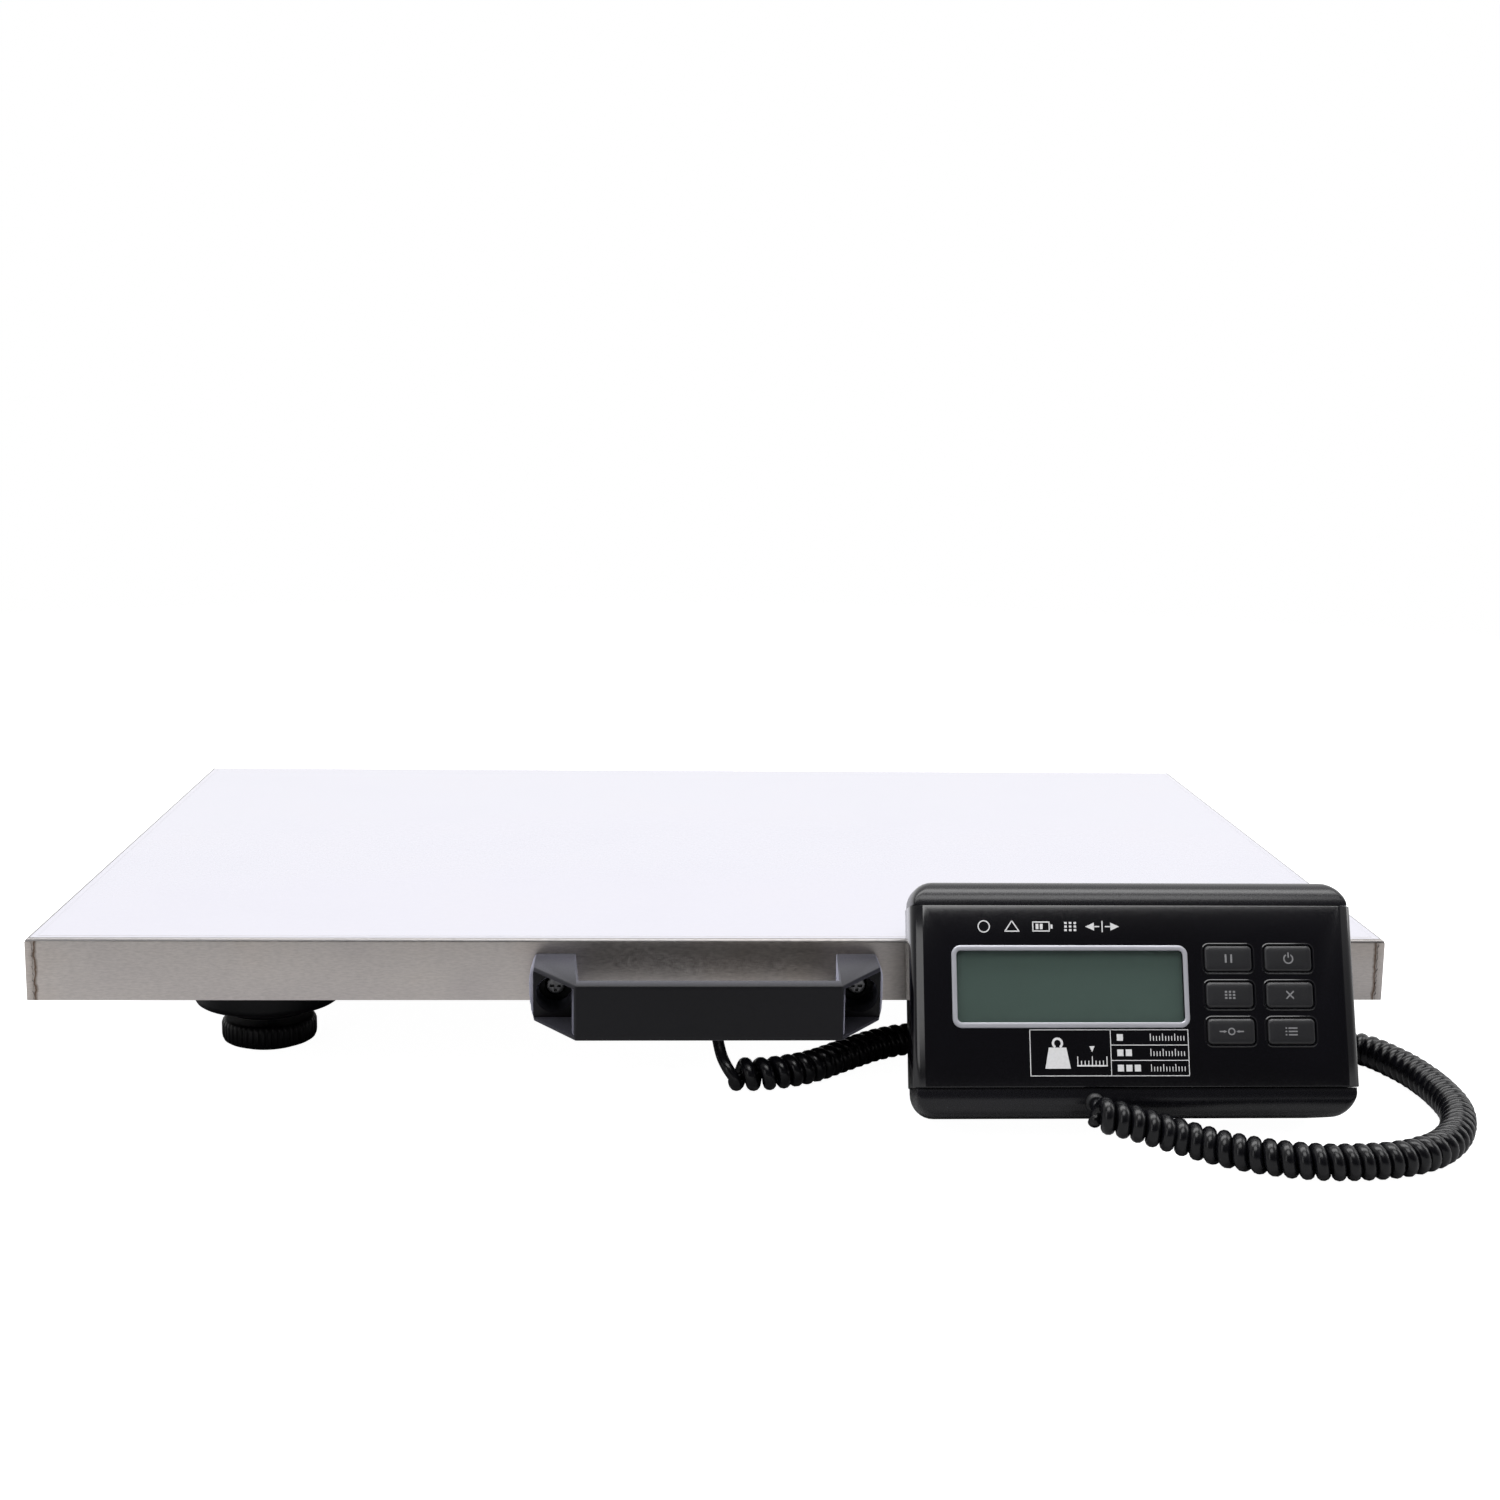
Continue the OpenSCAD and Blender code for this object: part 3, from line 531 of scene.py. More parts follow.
def make_cord():
    """The whole cord as one tube: the tail, the turns of the coil and the short tail."""
    shift = Vector((0, deck_low.y, 0))
    start, wound, last = ([Vector(p) + shift for p in route]
                          for route in (TAIL_ROUTE, COIL_ROUTE, SHORT_TAIL))
    turns = helix(smooth_path(wound, 0.001))
    tail = smooth_path(start + turns[:2], 0.0015)[:-1]
    end = smooth_path(turns[-2:] + last, 0.0012)
    path = tail + turns[1:-2] + end
    coiled = range(len(tail), len(path) - len(end))
    radii = [CORD_D / 2 * (COIL_CORD if i in coiled else TAIL_CORD) for i in range(len(path))]
    mesh = tube(path, radii)
    mesh.materials.append(cord_jacket)
    mesh.shade_smooth()
    cord = bpy.data.objects.new("curly_cord", mesh)
    scene.collection.objects.link(cord)
    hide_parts("cord_tail_platform", "cord_coil", "cord_tail_indicator")
    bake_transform(cord)


make_cord()


# ---- Platform ----

DECK = (600, 400, 28)       # width, depth, skirt
DECK_TOP = deck_high.z / MM
TAB = (2.9, 0.4)            # width and thickness of the corner tabs
SHEET_T = 1.1
BEND_R = 1.7
BORDER = (4.3, 4.5, 0.1)    # the top sheet's step: its foot and its edge from the side, and its height


def deck_shell():
    """Folded pan: rounded bends, mitred corners and a top sheet that stands proud of its border."""
    half, depth, skirt = DECK[0] / 2, DECK[1], DECK[2]
    border_z = DECK_TOP - BORDER[2]
    rings = [(0, DECK_TOP - skirt)]
    for a in range(0, 91, 15):
        turn = math.radians(a)
        rings.append((BEND_R * (1 - math.cos(turn)), border_z - BEND_R + BEND_R * math.sin(turn)))
    rings += [(BORDER[0], border_z), (BORDER[1], DECK_TOP)]
    loops = []
    for inset, z in rings:
        x, front, back = half - inset, TAB[1] + inset, depth - TAB[1] - inset
        loops.append([(-x, front, z), (x, front, z), (x, back, z), (-x, back, z)])
    mesh = loft(loops)
    bm = bmesh.new()
    bm.from_mesh(mesh)
    bottom = [f for f in bm.faces if f.normal.z < -0.9]
    bmesh.ops.delete(bm, geom=bottom, context="FACES")
    bm.to_mesh(mesh)
    bm.free()
    return applied(mesh, ("SOLIDIFY", dict(thickness=SHEET_T, offset=-1, use_even_offset=True)))


def corner_tab(side, row):
    """The end of a side skirt, folded round the long skirt's end, with a ragged weld edge.

    side is -1 for the left and 1 for the right, row is 0 for the front and 1 for the back.
    """
    skirt_low, skirt_top = DECK_TOP - DECK[2] + 0.15, DECK_TOP - 1.6
    steps = 26
    edge = []
    for k in range(steps + 1):
        z = skirt_low + (skirt_top - skirt_low) * k / steps
        ragged = 0.3 * math.sin(2.3 * k + side) + 0.16 * math.sin(5.1 * k + 2 * row)
        edge.append((DECK[0] / 2 - TAB[0] + ragged, z))
    outline = [(DECK[0] / 2, skirt_low), (DECK[0] / 2, skirt_top)] + edge[::-1]
    mesh = prism([(side * x, z) for x, z in outline], 0, TAB[1] + 0.1)
    turned = SWAP_YZ
    if row:
        turned = Matrix.Translation((0, DECK[1], 0)) @ Matrix.Diagonal((1, -1, 1, 1)) @ turned
    return moved(mesh, turned)


def make_deck():
    """The pan with its own brushing on the bends, the long skirts, the short skirts and the top; painted
    shade darkens the bends and a painted reflection brightens the top.
    """
    mesh = merged([deck_shell()] + [corner_tab(side, row) for side in (-1, 1) for row in (0, 1)])
    deck = add_piece("deck_sheet", mesh, ON_DECK, "platform",
                     [bend_steel_painted_shade, stainless_long, stainless_short, stainless_top_painted_light], ["deck_pan"], sharp=20)
    # Index 0 is the bends with painted shade, 1 the long skirts, 2 the short skirts, 3 the top with a
    # painted reflection
    for face in deck.data.polygons:
        on_top = face.normal.z > 0.99 and face.center.z > deck_high.z - 0.0002 and face.area > 1e-3
        on_skirt = abs(face.normal.z) < 0.3
        across = abs(face.normal.y) > abs(face.normal.x)
        face.material_index = 3 if on_top else 0 if not on_skirt else 1 if across else 2


make_deck()


# ---- Handle ----

HANDLE_X = -3.9
HANDLE_LOW, HANDLE_HIGH = 42.5, 66.5
HANDLE_MIDDLE = (HANDLE_LOW + HANDLE_HIGH) / 2
HANDLE_SCREW_X = 66
HANDLE_HALF = 77.7
BULGE_R = 26
POCKET_HALF_H = 10.3
WELL_R, WELL_RIM_R = 7.7, 8.2
# Right halves seen from above: x from the middle, and y forward from the skirt
HANDLE_OUTLINE = [(56, 50), (75, 22), (76.2, 17.5), (76.9, 13), (77.4, 9.5), (77.7, 6), (77.5, 0),
                  (57.5, 0), (55, 41.5)]
HANDLE_POCKET = [(58.4, 22), (80, 22), (80, 32), (66, 60), (57, 49.4), (56.3, 48.7), (57.6, 44)]


def mirrored(outline, side, widest=math.inf):
    """The left (-1) or right (1) half of a plan outline, cut off at its widest."""
    return [(side * min(x, widest), -y) for x, y in outline]


def bulge(z):
    """Half length of the handle at this height: its ends are round in the front view."""
    drop = BULGE_R - math.sqrt(BULGE_R ** 2 - (z - HANDLE_MIDDLE) ** 2)
    return HANDLE_HALF - drop


def levels(low, high, steps=12):
    return [low + (high - low) * k / steps for k in range(steps + 1)]


def make_handle():
    """A bar on two arms; its slanted ends are open pockets round the screw heads."""
    loops = []
    for z in levels(HANDLE_LOW, HANDLE_HIGH):
        half, other = (mirrored(HANDLE_OUTLINE, side, bulge(z)) for side in (1, -1))
        loops.append(at_height(half + other[::-1], z))
    mesh = softened(loft(loops), 0.7, segments=3, angle=25)
    for side in (-1, 1):
        pocket = prism(mirrored(HANDLE_POCKET, side), HANDLE_MIDDLE - POCKET_HALF_H,
                       HANDLE_MIDDLE + POCKET_HALF_H)
        stand = Matrix.Translation((side * HANDLE_SCREW_X, 0, HANDLE_MIDDLE)) @ FORWARD
        well = moved(lathe([(WELL_R, 6), (WELL_R, 21.2), (WELL_RIM_R, 22.05), (WELL_RIM_R, 23)], 48), stand)
        bore = moved(lathe([(2.5, -1), (2.5, 8)], 24), stand)
        mesh = cut(mesh, pocket, well, bore)
    add_piece("carry_handle", mesh, ON_DECK @ Matrix.Translation((HANDLE_X, 0, 0)), "platform",
              [handle_plastic], ["handle"])


make_handle()


def screw(head_r, head_h, shank_r, shank_end):
    """A screw down -Z with a flat, round-edged head that stands on z = 0 and has a cross recess."""
    shank = [(shank_r * 0.5, -shank_end), (shank_r, -shank_end + shank_r), (shank_r, 0)]
    head = [(head_r * r, head_h * z) for r, z in ((1, 0), (1, 0.6), (0.96, 0.8), (0.86, 0.95), (0.74, 1))]
    body = lathe(shank + head, 28)
    wide, arm = head_r * 0.16, head_r * 0.55
    for turn in (0, 90):
        slot_tool = moved(slab(-arm, arm, -wide, wide, head_h * 0.35, head_h + 1),
                          Matrix.Rotation(math.radians(turn), 4, "Z"))
        body = cut(body, slot_tool)
    return body


def copies(mesh, places):
    """The mesh at every place, as one mesh."""
    return merged([moved(mesh.copy(), place) for place in places])


def make_handle_screws():
    places = [Matrix.Translation((HANDLE_X + side * HANDLE_SCREW_X, -6, HANDLE_MIDDLE)) @ FORWARD
              for side in (-1, 1)]
    # The darkened steel is painted shade of the wells round the heads
    add_piece("handle_screw_pair", copies(screw(4.6, 3, 2.4, 10.3), places), ON_DECK, "platform",
              [screw_steel_painted_shade], ["handle_screws"])


make_handle_screws()


# ---- Feet ----

# Profiles are lists of (radius, height over the floor)
FOOT_CORNERS = {"fl": (-211, 84), "fr": (211, 84), "bl": (-211, 316), "br": (211, 316)}
KNOB_RIBS = 48
SCREW_CIRCLE = 27.5
SCREW_ANGLES = range(45, 360, 90)
STUD_LOW, STUD_HIGH = 6.2, 36


def housing_shape():
    """The round cover of a load cell, with four screw wells in its lower face."""
    profile = [(8.3, 41), (8.3, 15.9), (8.8, 15.5), (18.8, 15.5), (19.6, 15.8), (20, 16.6), (20, 18.2),
               (20.3, 19.8), (21.2, 20.4), (22.5, 20.5), (31.2, 20.55), (32.6, 20.9), (33.6, 21.6),
               (34.25, 22.7), (34.5, 24), (34.5, 45), (34.5, 48.8), (17.3, 48.8), (17.3, 41)]
    mesh = lathe(profile, 96)
    wells = [moved(lathe([(3.4, 15), (3.4, 27)], 24), Matrix.Rotation(math.radians(a), 4, "Z")
                   @ Matrix.Translation((SCREW_CIRCLE, 0, 0))) for a in SCREW_ANGLES]
    return cut(mesh, merged(wells))


def knob_shape():
    """Each rib is a flat tooth with a narrow groove beside it, fading out towards the rounded rims."""
    per_rib = 6
    depths = (0, 0, 0, 0, 0.6, 0.6)
    fade = {3.5: 0.8, 4.7: 1, 9.9: 1, 11.1: 0.8}

    def reach(r, z, angle):
        k = round(angle / (2 * math.pi) * KNOB_RIBS * per_rib)
        return r - depths[k % per_rib] * fade.get(z, 0)

    profile = [(6.06, 6.2), (6.06, 1.4), (19.4, 1.4), (20.6, 1.6), (21.5, 2.2), (22.1, 3.5), (22.3, 4.7),
               (22.3, 9.9), (21.9, 11.1), (21.2, 11.8), (20.2, 12.2), (19.2, 12.3), (5.2, 12.3), (5.2, 6.3)]
    return lathe(profile, KNOB_RIBS * per_rib, reach)


def stud_shape():
    """A coarse metric thread, 1.5 mm pitch."""
    pitch, crest, root = 1.5, 4.95, 4.25
    steps = 8
    rows = int((STUD_HIGH - STUD_LOW) / pitch * steps)
    profile = [(crest, round(STUD_LOW + k * pitch / steps, 4)) for k in range(rows + 1)]

    def reach(r, z, angle):
        share = (z / pitch - angle / (2 * math.pi)) % 1
        fall = min(1, abs(share - 0.5) * 2.4)
        end = min(1, (STUD_HIGH - z) / 1.2)
        return root - 0.4 * (1 - end) + (crest - root) * (1 - fall) * end

    return lathe(profile, 32, reach)


def pad_shape():
    """A rubber pad with ring grooves in its sole."""
    grooves = []
    for r in (15, 11.5, 8, 4.5):
        grooves += [(r, 0), (r - 0.4, 0.35), (r - 1, 0.35), (r - 1.4, 0)]
    profile = grooves[::-1] + [(16.5, 0), (16.9, 0.2), (17, 0.5), (17, 0.9), (16.8, 1.2), (16.5, 1.3),
                               (6, 1.3), (6, 5.6), (5.6, 6)]
    return lathe(profile, 64)


def make_feet():
    housing, knob, stud, pad = housing_shape(), knob_shape(), stud_shape(), pad_shape()
    for corner, (x, y) in FOOT_CORNERS.items():
        place = ON_DECK @ Matrix.Translation((x, y, 0))
        add_piece(f"foot_disc_{corner}", housing.copy(), place, "platform", [foot_plastic],
                  [f"load_cell_housing_{corner}"])
        add_piece(f"ribbed_knob_{corner}", knob.copy(), place, f"knob_{corner}",
                  [foot_plastic], [f"foot_knob_{corner}"], sharp=28)
        add_piece(f"threaded_stud_{corner}", stud.copy(), place, f"knob_{corner}", [zinc],
                  [f"foot_stud_{corner}"], sharp=60)
        add_piece(f"rubber_foot_{corner}", pad.copy(), place, f"foot_{corner}",
                  [foot_rubber], [f"foot_pad_{corner}"])
    places = [Matrix.Translation((x, y, 27)) @ Matrix.Rotation(math.radians(a), 4, "Z")
              @ Matrix.Translation((SCREW_CIRCLE, 0, 0)) @ UPSIDE_DOWN
              for x, y in FOOT_CORNERS.values() for a in SCREW_ANGLES]
    add_piece("housing_screw_set", copies(screw(3.1, 2.3, 1.5, 24.6), places), ON_DECK, "platform",
              [zinc], ["housing_screws"])


make_feet()


CORD_HOLE_R = 2.56
GLAND_PLACE = (-2, 80, 61.8)


def make_gland():
    """A flange on either side of the box's wall and a tapered, ringed sleeve round the cord."""
    sleeve = lathe([(CORD_HOLE_R, 0), (7.5, 0), (7.5, 3.2), (6.9, 4), (6.1, 4), (5.2, 6), (5.5, 6.6),
                    (4.9, 8), (5.1, 8.6), (4.5, 10), (4.7, 10.6), (4.1, 12), (4.3, 12.6), (3.7, 14),
                    (3.8, 17.4), (3.4, 18), (CORD_HOLE_R, 18)], 48)
    inner = lathe([(CORD_HOLE_R, 0), (5, 0), (5, -2), (7, -2), (7, -4), (CORD_HOLE_R, -4)], 48)
    add_piece("gland_sleeve", merged([sleeve, inner]), ON_DECK @ Matrix.Translation(GLAND_PLACE) @ FORWARD,
              "platform", [relief_rubber], ["cord_gland"])


make_gland()


# ---- Indicator ----

# Boxes on the face are (u0, v0, u1, v1)
WIDE, TALL, DEEP = INDICATOR_SIZE
WALL = 2.3
BAND_T = DEEP - 1.5         # the bands at the top and bottom are thinner than the cover between them
BAND_R = 10
SEAMS = (12.2, 89.4)
WINDOW = (19, 39.5, 115.8, 69.8)
RING = (16.9, 37.2, 117.8, 72)
LCD_CELL = (12.4, 35, 122.4, 74)
DOOR_RECESS = (62, 19, 147, 55)
BATTERY_WELL = (68, 22, 128, 52.5)
KEY_U = (135.3, 161.1)
KEY_V = (66.4, 51, 35.6)
KEY_SIZE = (20.4, 11)
PRINT_W = DEEP - 0.02       # printed film starts just inside the cover's face
# Column and row of each key
KEYS = {"hold": (0, 0), "power": (1, 0), "count": (0, 1), "clear": (1, 1), "tare": (0, 2), "mode": (1, 2)}
RELIEF_U = 76.4
CASE_SCREWS = [(u, v) for u in (14, 176) for v in (20, 81)]


RELIEF_PLACE = Matrix.Translation((RELIEF_U, BAND_R, BAND_T - BAND_R)) @ Matrix.Rotation(LEAN, 4, "X")


def case_loops(inset, back_r):
    """Rings of the case from its back to its front, whose edges roll over by the band's radius.

    The side walls are drafted by 2.6 mm over the rear half.
    """
    r = BAND_R - inset
    loops = []

    def ring(more_u, more_v, w):
        corner = max(10 - inset - more_v, 1.2)
        u = 0.6 + inset + more_u + 2.6 * max(0, 1 - w / 20)
        loops.append(at_height(rounded(u, inset + more_v, WIDE - u, TALL - inset - more_v, corner, 8), w))

    for a in (0, 30, 60):
        grow = back_r * (1 - math.sin(math.radians(a)))
        ring(grow, grow, inset + back_r * (1 - math.cos(math.radians(a))))
    ring(0, 0, inset + back_r)
    ring(0, 0, 20)
    for a in range(0, 91, 9):
        fall = 1 - math.cos(math.radians(a))
        ring(0.12 * r * fall, r * fall, BAND_T - BAND_R + r * math.sin(math.radians(a)))
    return loops


def make_case():
    """Back and both bands in one shell, with a battery well and holes for screws, inlet and cord."""
    shell = cut(loft(case_loops(0, 1.6)), loft(case_loops(WALL, 0.2)),
                slab(-5, WIDE + 5, *SEAMS, 20, 50))
    u0, v0, u1, v1 = BATTERY_WELL
    shell = combined(shell, slab(u0, u1, v0, v1, 1, 22.5), "UNION")
    door_recess = prism(rounded(*DOOR_RECESS, 2), -1, 1.6)
    battery_room = slab(u0 + 1.5, u1 - 1.5, v0 + 1.5, v1 - 1.5, -1, 21)
    screw_holes = merged([moved(lathe([(3.2, -1), (3.2, 1.2), (1.6, 1.2), (1.6, 4)], 32),
                                Matrix.Translation((u, v, 0))) for u, v in CASE_SCREWS])
    jack_hole = moved(lathe([(4.05, 0), (4.05, 9)], 40), Matrix.Translation((WIDE - 8, 50, 12))
                      @ Matrix.Rotation(math.pi / 2, 4, "Y"))
    relief_hole = moved(lathe([(4, 5), (4, 14)], 32), RELIEF_PLACE)
    shell = cut(shell, door_recess, battery_room, screw_holes, jack_hole, relief_hole)
    add_piece("case_shell", shell, ON_FACE, "indicator", [case_plastic],
              ["indicator_back_case"], sharp=28)


make_case()


def key_outline(u, v, grow, r, steps):
    """Outline of a key, grown by this much all round."""
    a, b = KEY_SIZE[0] / 2 + grow, KEY_SIZE[1] / 2 + grow
    return rounded(u - a, v - b, u + a, v + b, r, steps)


def make_cover():
    """The glossy front: rolled short sides, a display window and six key pockets with raised rims."""
    low, high = SEAMS[0] + 0.3, SEAMS[1] - 0.3
    edge = [(0, 20), (0, 36.2), (0.3, 37.3), (1.1, 38.25), (2.2, 38.85), (3, 39.15), (3.1, 39.19),
            (4.9, 39.88), (5, 39.92), (5.4, 40), (6, 40)]
    outline = edge + [(WIDE - u, w) for u, w in edge[::-1]]
    # The outline is drawn in u and w, and then stood up so that the prism runs along v
    mesh = softened(moved(prism(outline, low, high), SWAP_YZ), 0.35, 2, 50)
    hollow = slab(2.4, WIDE - 2.4, -1, TALL + 1, 19, 36.0)
    hollow_front = slab(7, WIDE - 7, -1, TALL + 1, 19, 37.5)
    window = prism(rounded(*WINDOW, 2), 30, 45)
    pockets = [prism(key_outline(u, v, 0.3, 2.3, 5), 30, 45) for u in KEY_U for v in KEY_V]
    mesh = cut(mesh, hollow, hollow_front, window, merged(pockets))
    rims = [pocket_rim(u, v) for u in KEY_U for v in KEY_V]
    boss = lathe([(1.25, 16), (1.25, 2.6), (3.4, 2.6), (3.4, 37.6)], 24)
    bosses = [moved(boss.copy(), Matrix.Translation((u, v, 0))) for u, v in CASE_SCREWS]
    add_piece("gloss_cover", merged([mesh] + rims + bosses), ON_FACE, "indicator",
              [cover_plastic], ["indicator_front_cover"], sharp=24)


def pocket_rim(u, v):
    """A low bead round a key's pocket."""
    steps = ((0.3, 39.7), (0.32, 40.05), (0.52, 40.3), (0.8, 40.36), (1.1, 40.25), (1.3, 39.9))
    return loft([at_height(key_outline(u, v, out, 2 + out, 5), w) for out, w in steps], capped=False)


make_cover()


def framed(box, grow, r, w):
    """A rounded loop round a box on the face, grown by this much, at this height."""
    return at_height(rounded(box[0] - grow, box[1] - grow, box[2] + grow, box[3] + grow, r, 8), w)


def make_display():
    """The silver ring, the clear pane inside it and the green cell behind."""
    ring = loft([framed(WINDOW, 0, 2, 38.2), framed(WINDOW, 0, 2, 40.3), framed(WINDOW, 0.25, 2.2, 40.6),
                 framed(RING, -0.75, 3.3, 40.8), framed(RING, -0.25, 3.8, 40.65), framed(RING, 0, 4, 40.3),
                 framed(RING, 0, 4, 40.0)], capped=False)
    add_piece("display_ring", ring, ON_FACE, "indicator", [bezel_silver], ["lcd_bezel"])
    pane = loft([framed(WINDOW, -0.1, 1.9, 38.2), framed(WINDOW, -0.1, 1.9, 39.3),
                 framed(WINDOW, -0.35, 1.7, 39.5)])
    add_piece("display_pane", pane, ON_FACE, "indicator", [display_glass], ["lcd_window"])
    cell = loft([framed(LCD_CELL, 0, 1, 32), framed(LCD_CELL, 0, 1, 36.6),
                 framed(LCD_CELL, -1.4, 0.8, 36.7), framed(LCD_CELL, -1.6, 0.8, 37.4)])
    add_piece("display_cell", cell, ON_FACE, "indicator", [lcd_panel], ["lcd_module"])


make_display()


# ---- Printed marks ----

# Marks are prisms 1 high in u and v, which printed() flattens onto the face
def bar(x, y, wide, tall):
    return slab(x - wide / 2, x + wide / 2, y - tall / 2, y + tall / 2, 0, 1)


def stroke(x0, y0, x1, y1, wide):
    """A straight line from one point to the other."""
    ahead = Vector((x1 - x0, y1 - y0))
    across = Vector((-ahead.y, ahead.x)).normalized() * wide / 2
    a, b = Vector((x0, y0)), Vector((x1, y1))
    return prism([tuple(a - across), tuple(b - across), tuple(b + across), tuple(a + across)], 0, 1)


def arc(x, y, r, wide, start=0, end=360):
    """Part of a ring, from start to end degrees."""
    steps = max(6, round((end - start) / 15))
    meshes = []
    outer, inner = r + wide / 2, r - wide / 2
    for k in range(steps):
        a, b = (math.radians(start + (end - start) * (k + j) / steps) for j in (0, 1))
        corners = ((inner, a), (outer, a), (outer, b), (inner, b))
        outline = [(x + reach * math.cos(t), y + reach * math.sin(t)) for reach, t in corners]
        meshes.append(prism(outline, 0, 1))
    return merged(meshes)


def wedge(x, y, size, turn):
    """A solid arrowhead that points along turn, in degrees."""
    corners = []
    for a, reach in ((0, 1), (125, 0.8), (235, 0.8)):
        t = math.radians(turn + a)
        corners.append((x + size * reach * math.cos(t), y + size * reach * math.sin(t)))
    return prism(corners, 0, 1)


def frame_marks(x0, y0, x1, y1, wide):
    """The four lines of a box."""
    return [bar((x0 + x1) / 2, y0, x1 - x0 + wide, wide), bar((x0 + x1) / 2, y1, x1 - x0 + wide, wide),
            bar(x0, (y0 + y1) / 2, wide, y1 - y0), bar(x1, (y0 + y1) / 2, wide, y1 - y0)]


def printed(name, marks, low, thick, body, ink):
    """Ink as a thin raised film: the marks are drawn 1 high and flattened onto the surface."""
    flat = ON_FACE @ Matrix.Translation((0, 0, low)) @ Matrix.Diagonal((1, 1, thick, 1))
    add_piece(name, merged(marks), flat, body, [ink])


def key_marks(key, x, y):
    """A generic sign for each key."""
    line = 0.55
    if key == "hold":
        return [bar(x - 1.2, y, 0.8, 3.6), bar(x + 1.2, y, 0.8, 3.6)]
    if key == "power":
        return [arc(x, y - 0.1, 1.9, line, 120, 420), stroke(x, y + 0.3, x, y + 2.6, line)]
    if key == "count":
        return [bar(x + 1.7 * i, y + 1.3 * j, 1.0, 0.8) for i in (-1, 0, 1) for j in (-1, 0, 1)]
    if key == "clear":
        return [stroke(x - 1.6, y - fall, x + 1.6, y + fall, line) for fall in (1.6, -1.6)]
    if key == "tare":
        return [arc(x, y, 1.3, line), stroke(x - 5.2, y, x - 3.1, y, line), wedge(x - 2.9, y, 0.9, 0),
                stroke(x + 5.2, y, x + 3.1, y, line), wedge(x + 2.9, y, 0.9, 180)]
    rows = [y + 1.4 * i for i in (-1, 0, 1)]
    return [bar(x + 0.5, v, 3.8, line) for v in rows] + [bar(x - 2.4, v, 0.7, line) for v in rows]


KEY_PROFILE = [(0.8, 35.74), (0.8, 37.25), (0, 37.3), (0, 39.7), (-0.2, 40.2), (-0.6, 40.52),
               (-1.2, 40.66), (-2.6, 40.72), (-4, 40.74)]       # growth of the outline, and height


def make_keys():
    """Six caps with a flange under the cover and a slightly domed top."""
    for key, (column, row) in KEYS.items():
        u, v = KEY_U[column], KEY_V[row]
        cap = loft([at_height(key_outline(u, v, out, max(2 + out * 0.6, 0.4), 6), w)
                    for out, w in KEY_PROFILE])
        add_piece(f"keycap_{key}", cap, ON_FACE, f"key_{key}", [key_plastic],
                  [f"key_{key}"], sharp=50)
        printed(f"keymark_{key}", key_marks(key, u, v), 40.7, 0.08, f"key_{key}", key_ink)


make_keys()


def status_marks():
    """A row of generic status signs over the display."""
    y, line = 80, 0.5
    ring = [arc(31, y, 2.4, line)]
    triangle = [stroke(40, y - 2, 43, y + 2.4, line), stroke(43, y + 2.4, 46, y - 2, line),
                bar(43, y - 2, 6.4, line)]
    cell = frame_marks(52, y - 1.9, 59, y + 1.9, line)
    cell += [bar(60, y, 0.9, 1.8), bar(53.8, y, 1.2, 2.3), bar(55.6, y, 1.2, 2.3)]
    dots = [bar(66 + 2 * i, y - 1.5 + 1.5 * j, 1.1, 0.9) for i in range(3) for j in range(3)]
    arrows = [wedge(77, y, 2.6, 180), bar(79.2, y, 2.6, line), bar(84.2, y, 2.6, line),
              wedge(86.4, y, 2.6, 0), stroke(81.7, y - 2.4, 81.7, y + 2.4, line)]
    return ring + triangle + cell + dots + arrows


def ticks(x, y, step, count, wide, short, longer):
    """A fine scale: upright lines on a base at y, every fourth one longer."""
    marks = []
    for i in range(count):
        more = longer if i % 4 == 0 else 0
        marks.append(bar(x + step * i, y + (short + more) / 2, wide, short + more))
    return marks


CAPACITY_BOX = (49.4, 17.2, 116.7, 36.4)


def capacity_marks():
    """A ruled box: a weight and a scale at the left, and three rows of growing bars at the right."""
    x0, y0, x1, y1 = CAPACITY_BOX
    divide, line = 83.6, 0.32
    marks = frame_marks(x0, y0, x1, y1, line) + [bar(divide, (y0 + y1) / 2, line, y1 - y0)]
    row = (y1 - y0) / 3
    marks += [bar((divide + x1) / 2, y0 + row * k, x1 - divide, line) for k in (1, 2)]
    for k in range(3):
        y = y0 + row * (2.5 - k)
        marks += [bar(divide + 4 + 3.6 * i, y, 2.6, 2.8) for i in range(k + 1)]
        marks += ticks(divide + 17, y - 1.4, 1.3, 12, 0.35, 2, 1)
    x, low, high = 61, y0 + 3, y0 + 11.8
    marks.append(prism([(x - 5.4, low), (x + 5.4, low), (x + 3.7, high), (x - 3.7, high)], 0, 1))
    marks.append(arc(x, high + 1.8, 1.9, 1.0, -60, 240))
    scale_x = 75.6
    marks += [bar(scale_x, y0 + 4.2, 13, 0.6), wedge(scale_x, y0 + 11.6, 1.7, 270)]
    marks += ticks(scale_x - 6.2, y0 + 4.5, 1.55, 9, 0.4, 1.8, 1.8)
    return marks


def make_print():
    printed("status_print", status_marks(), PRINT_W, 0.06, "indicator", cover_ink)
    printed("capacity_print", capacity_marks(), PRINT_W, 0.06, "indicator", cover_ink)


make_print()


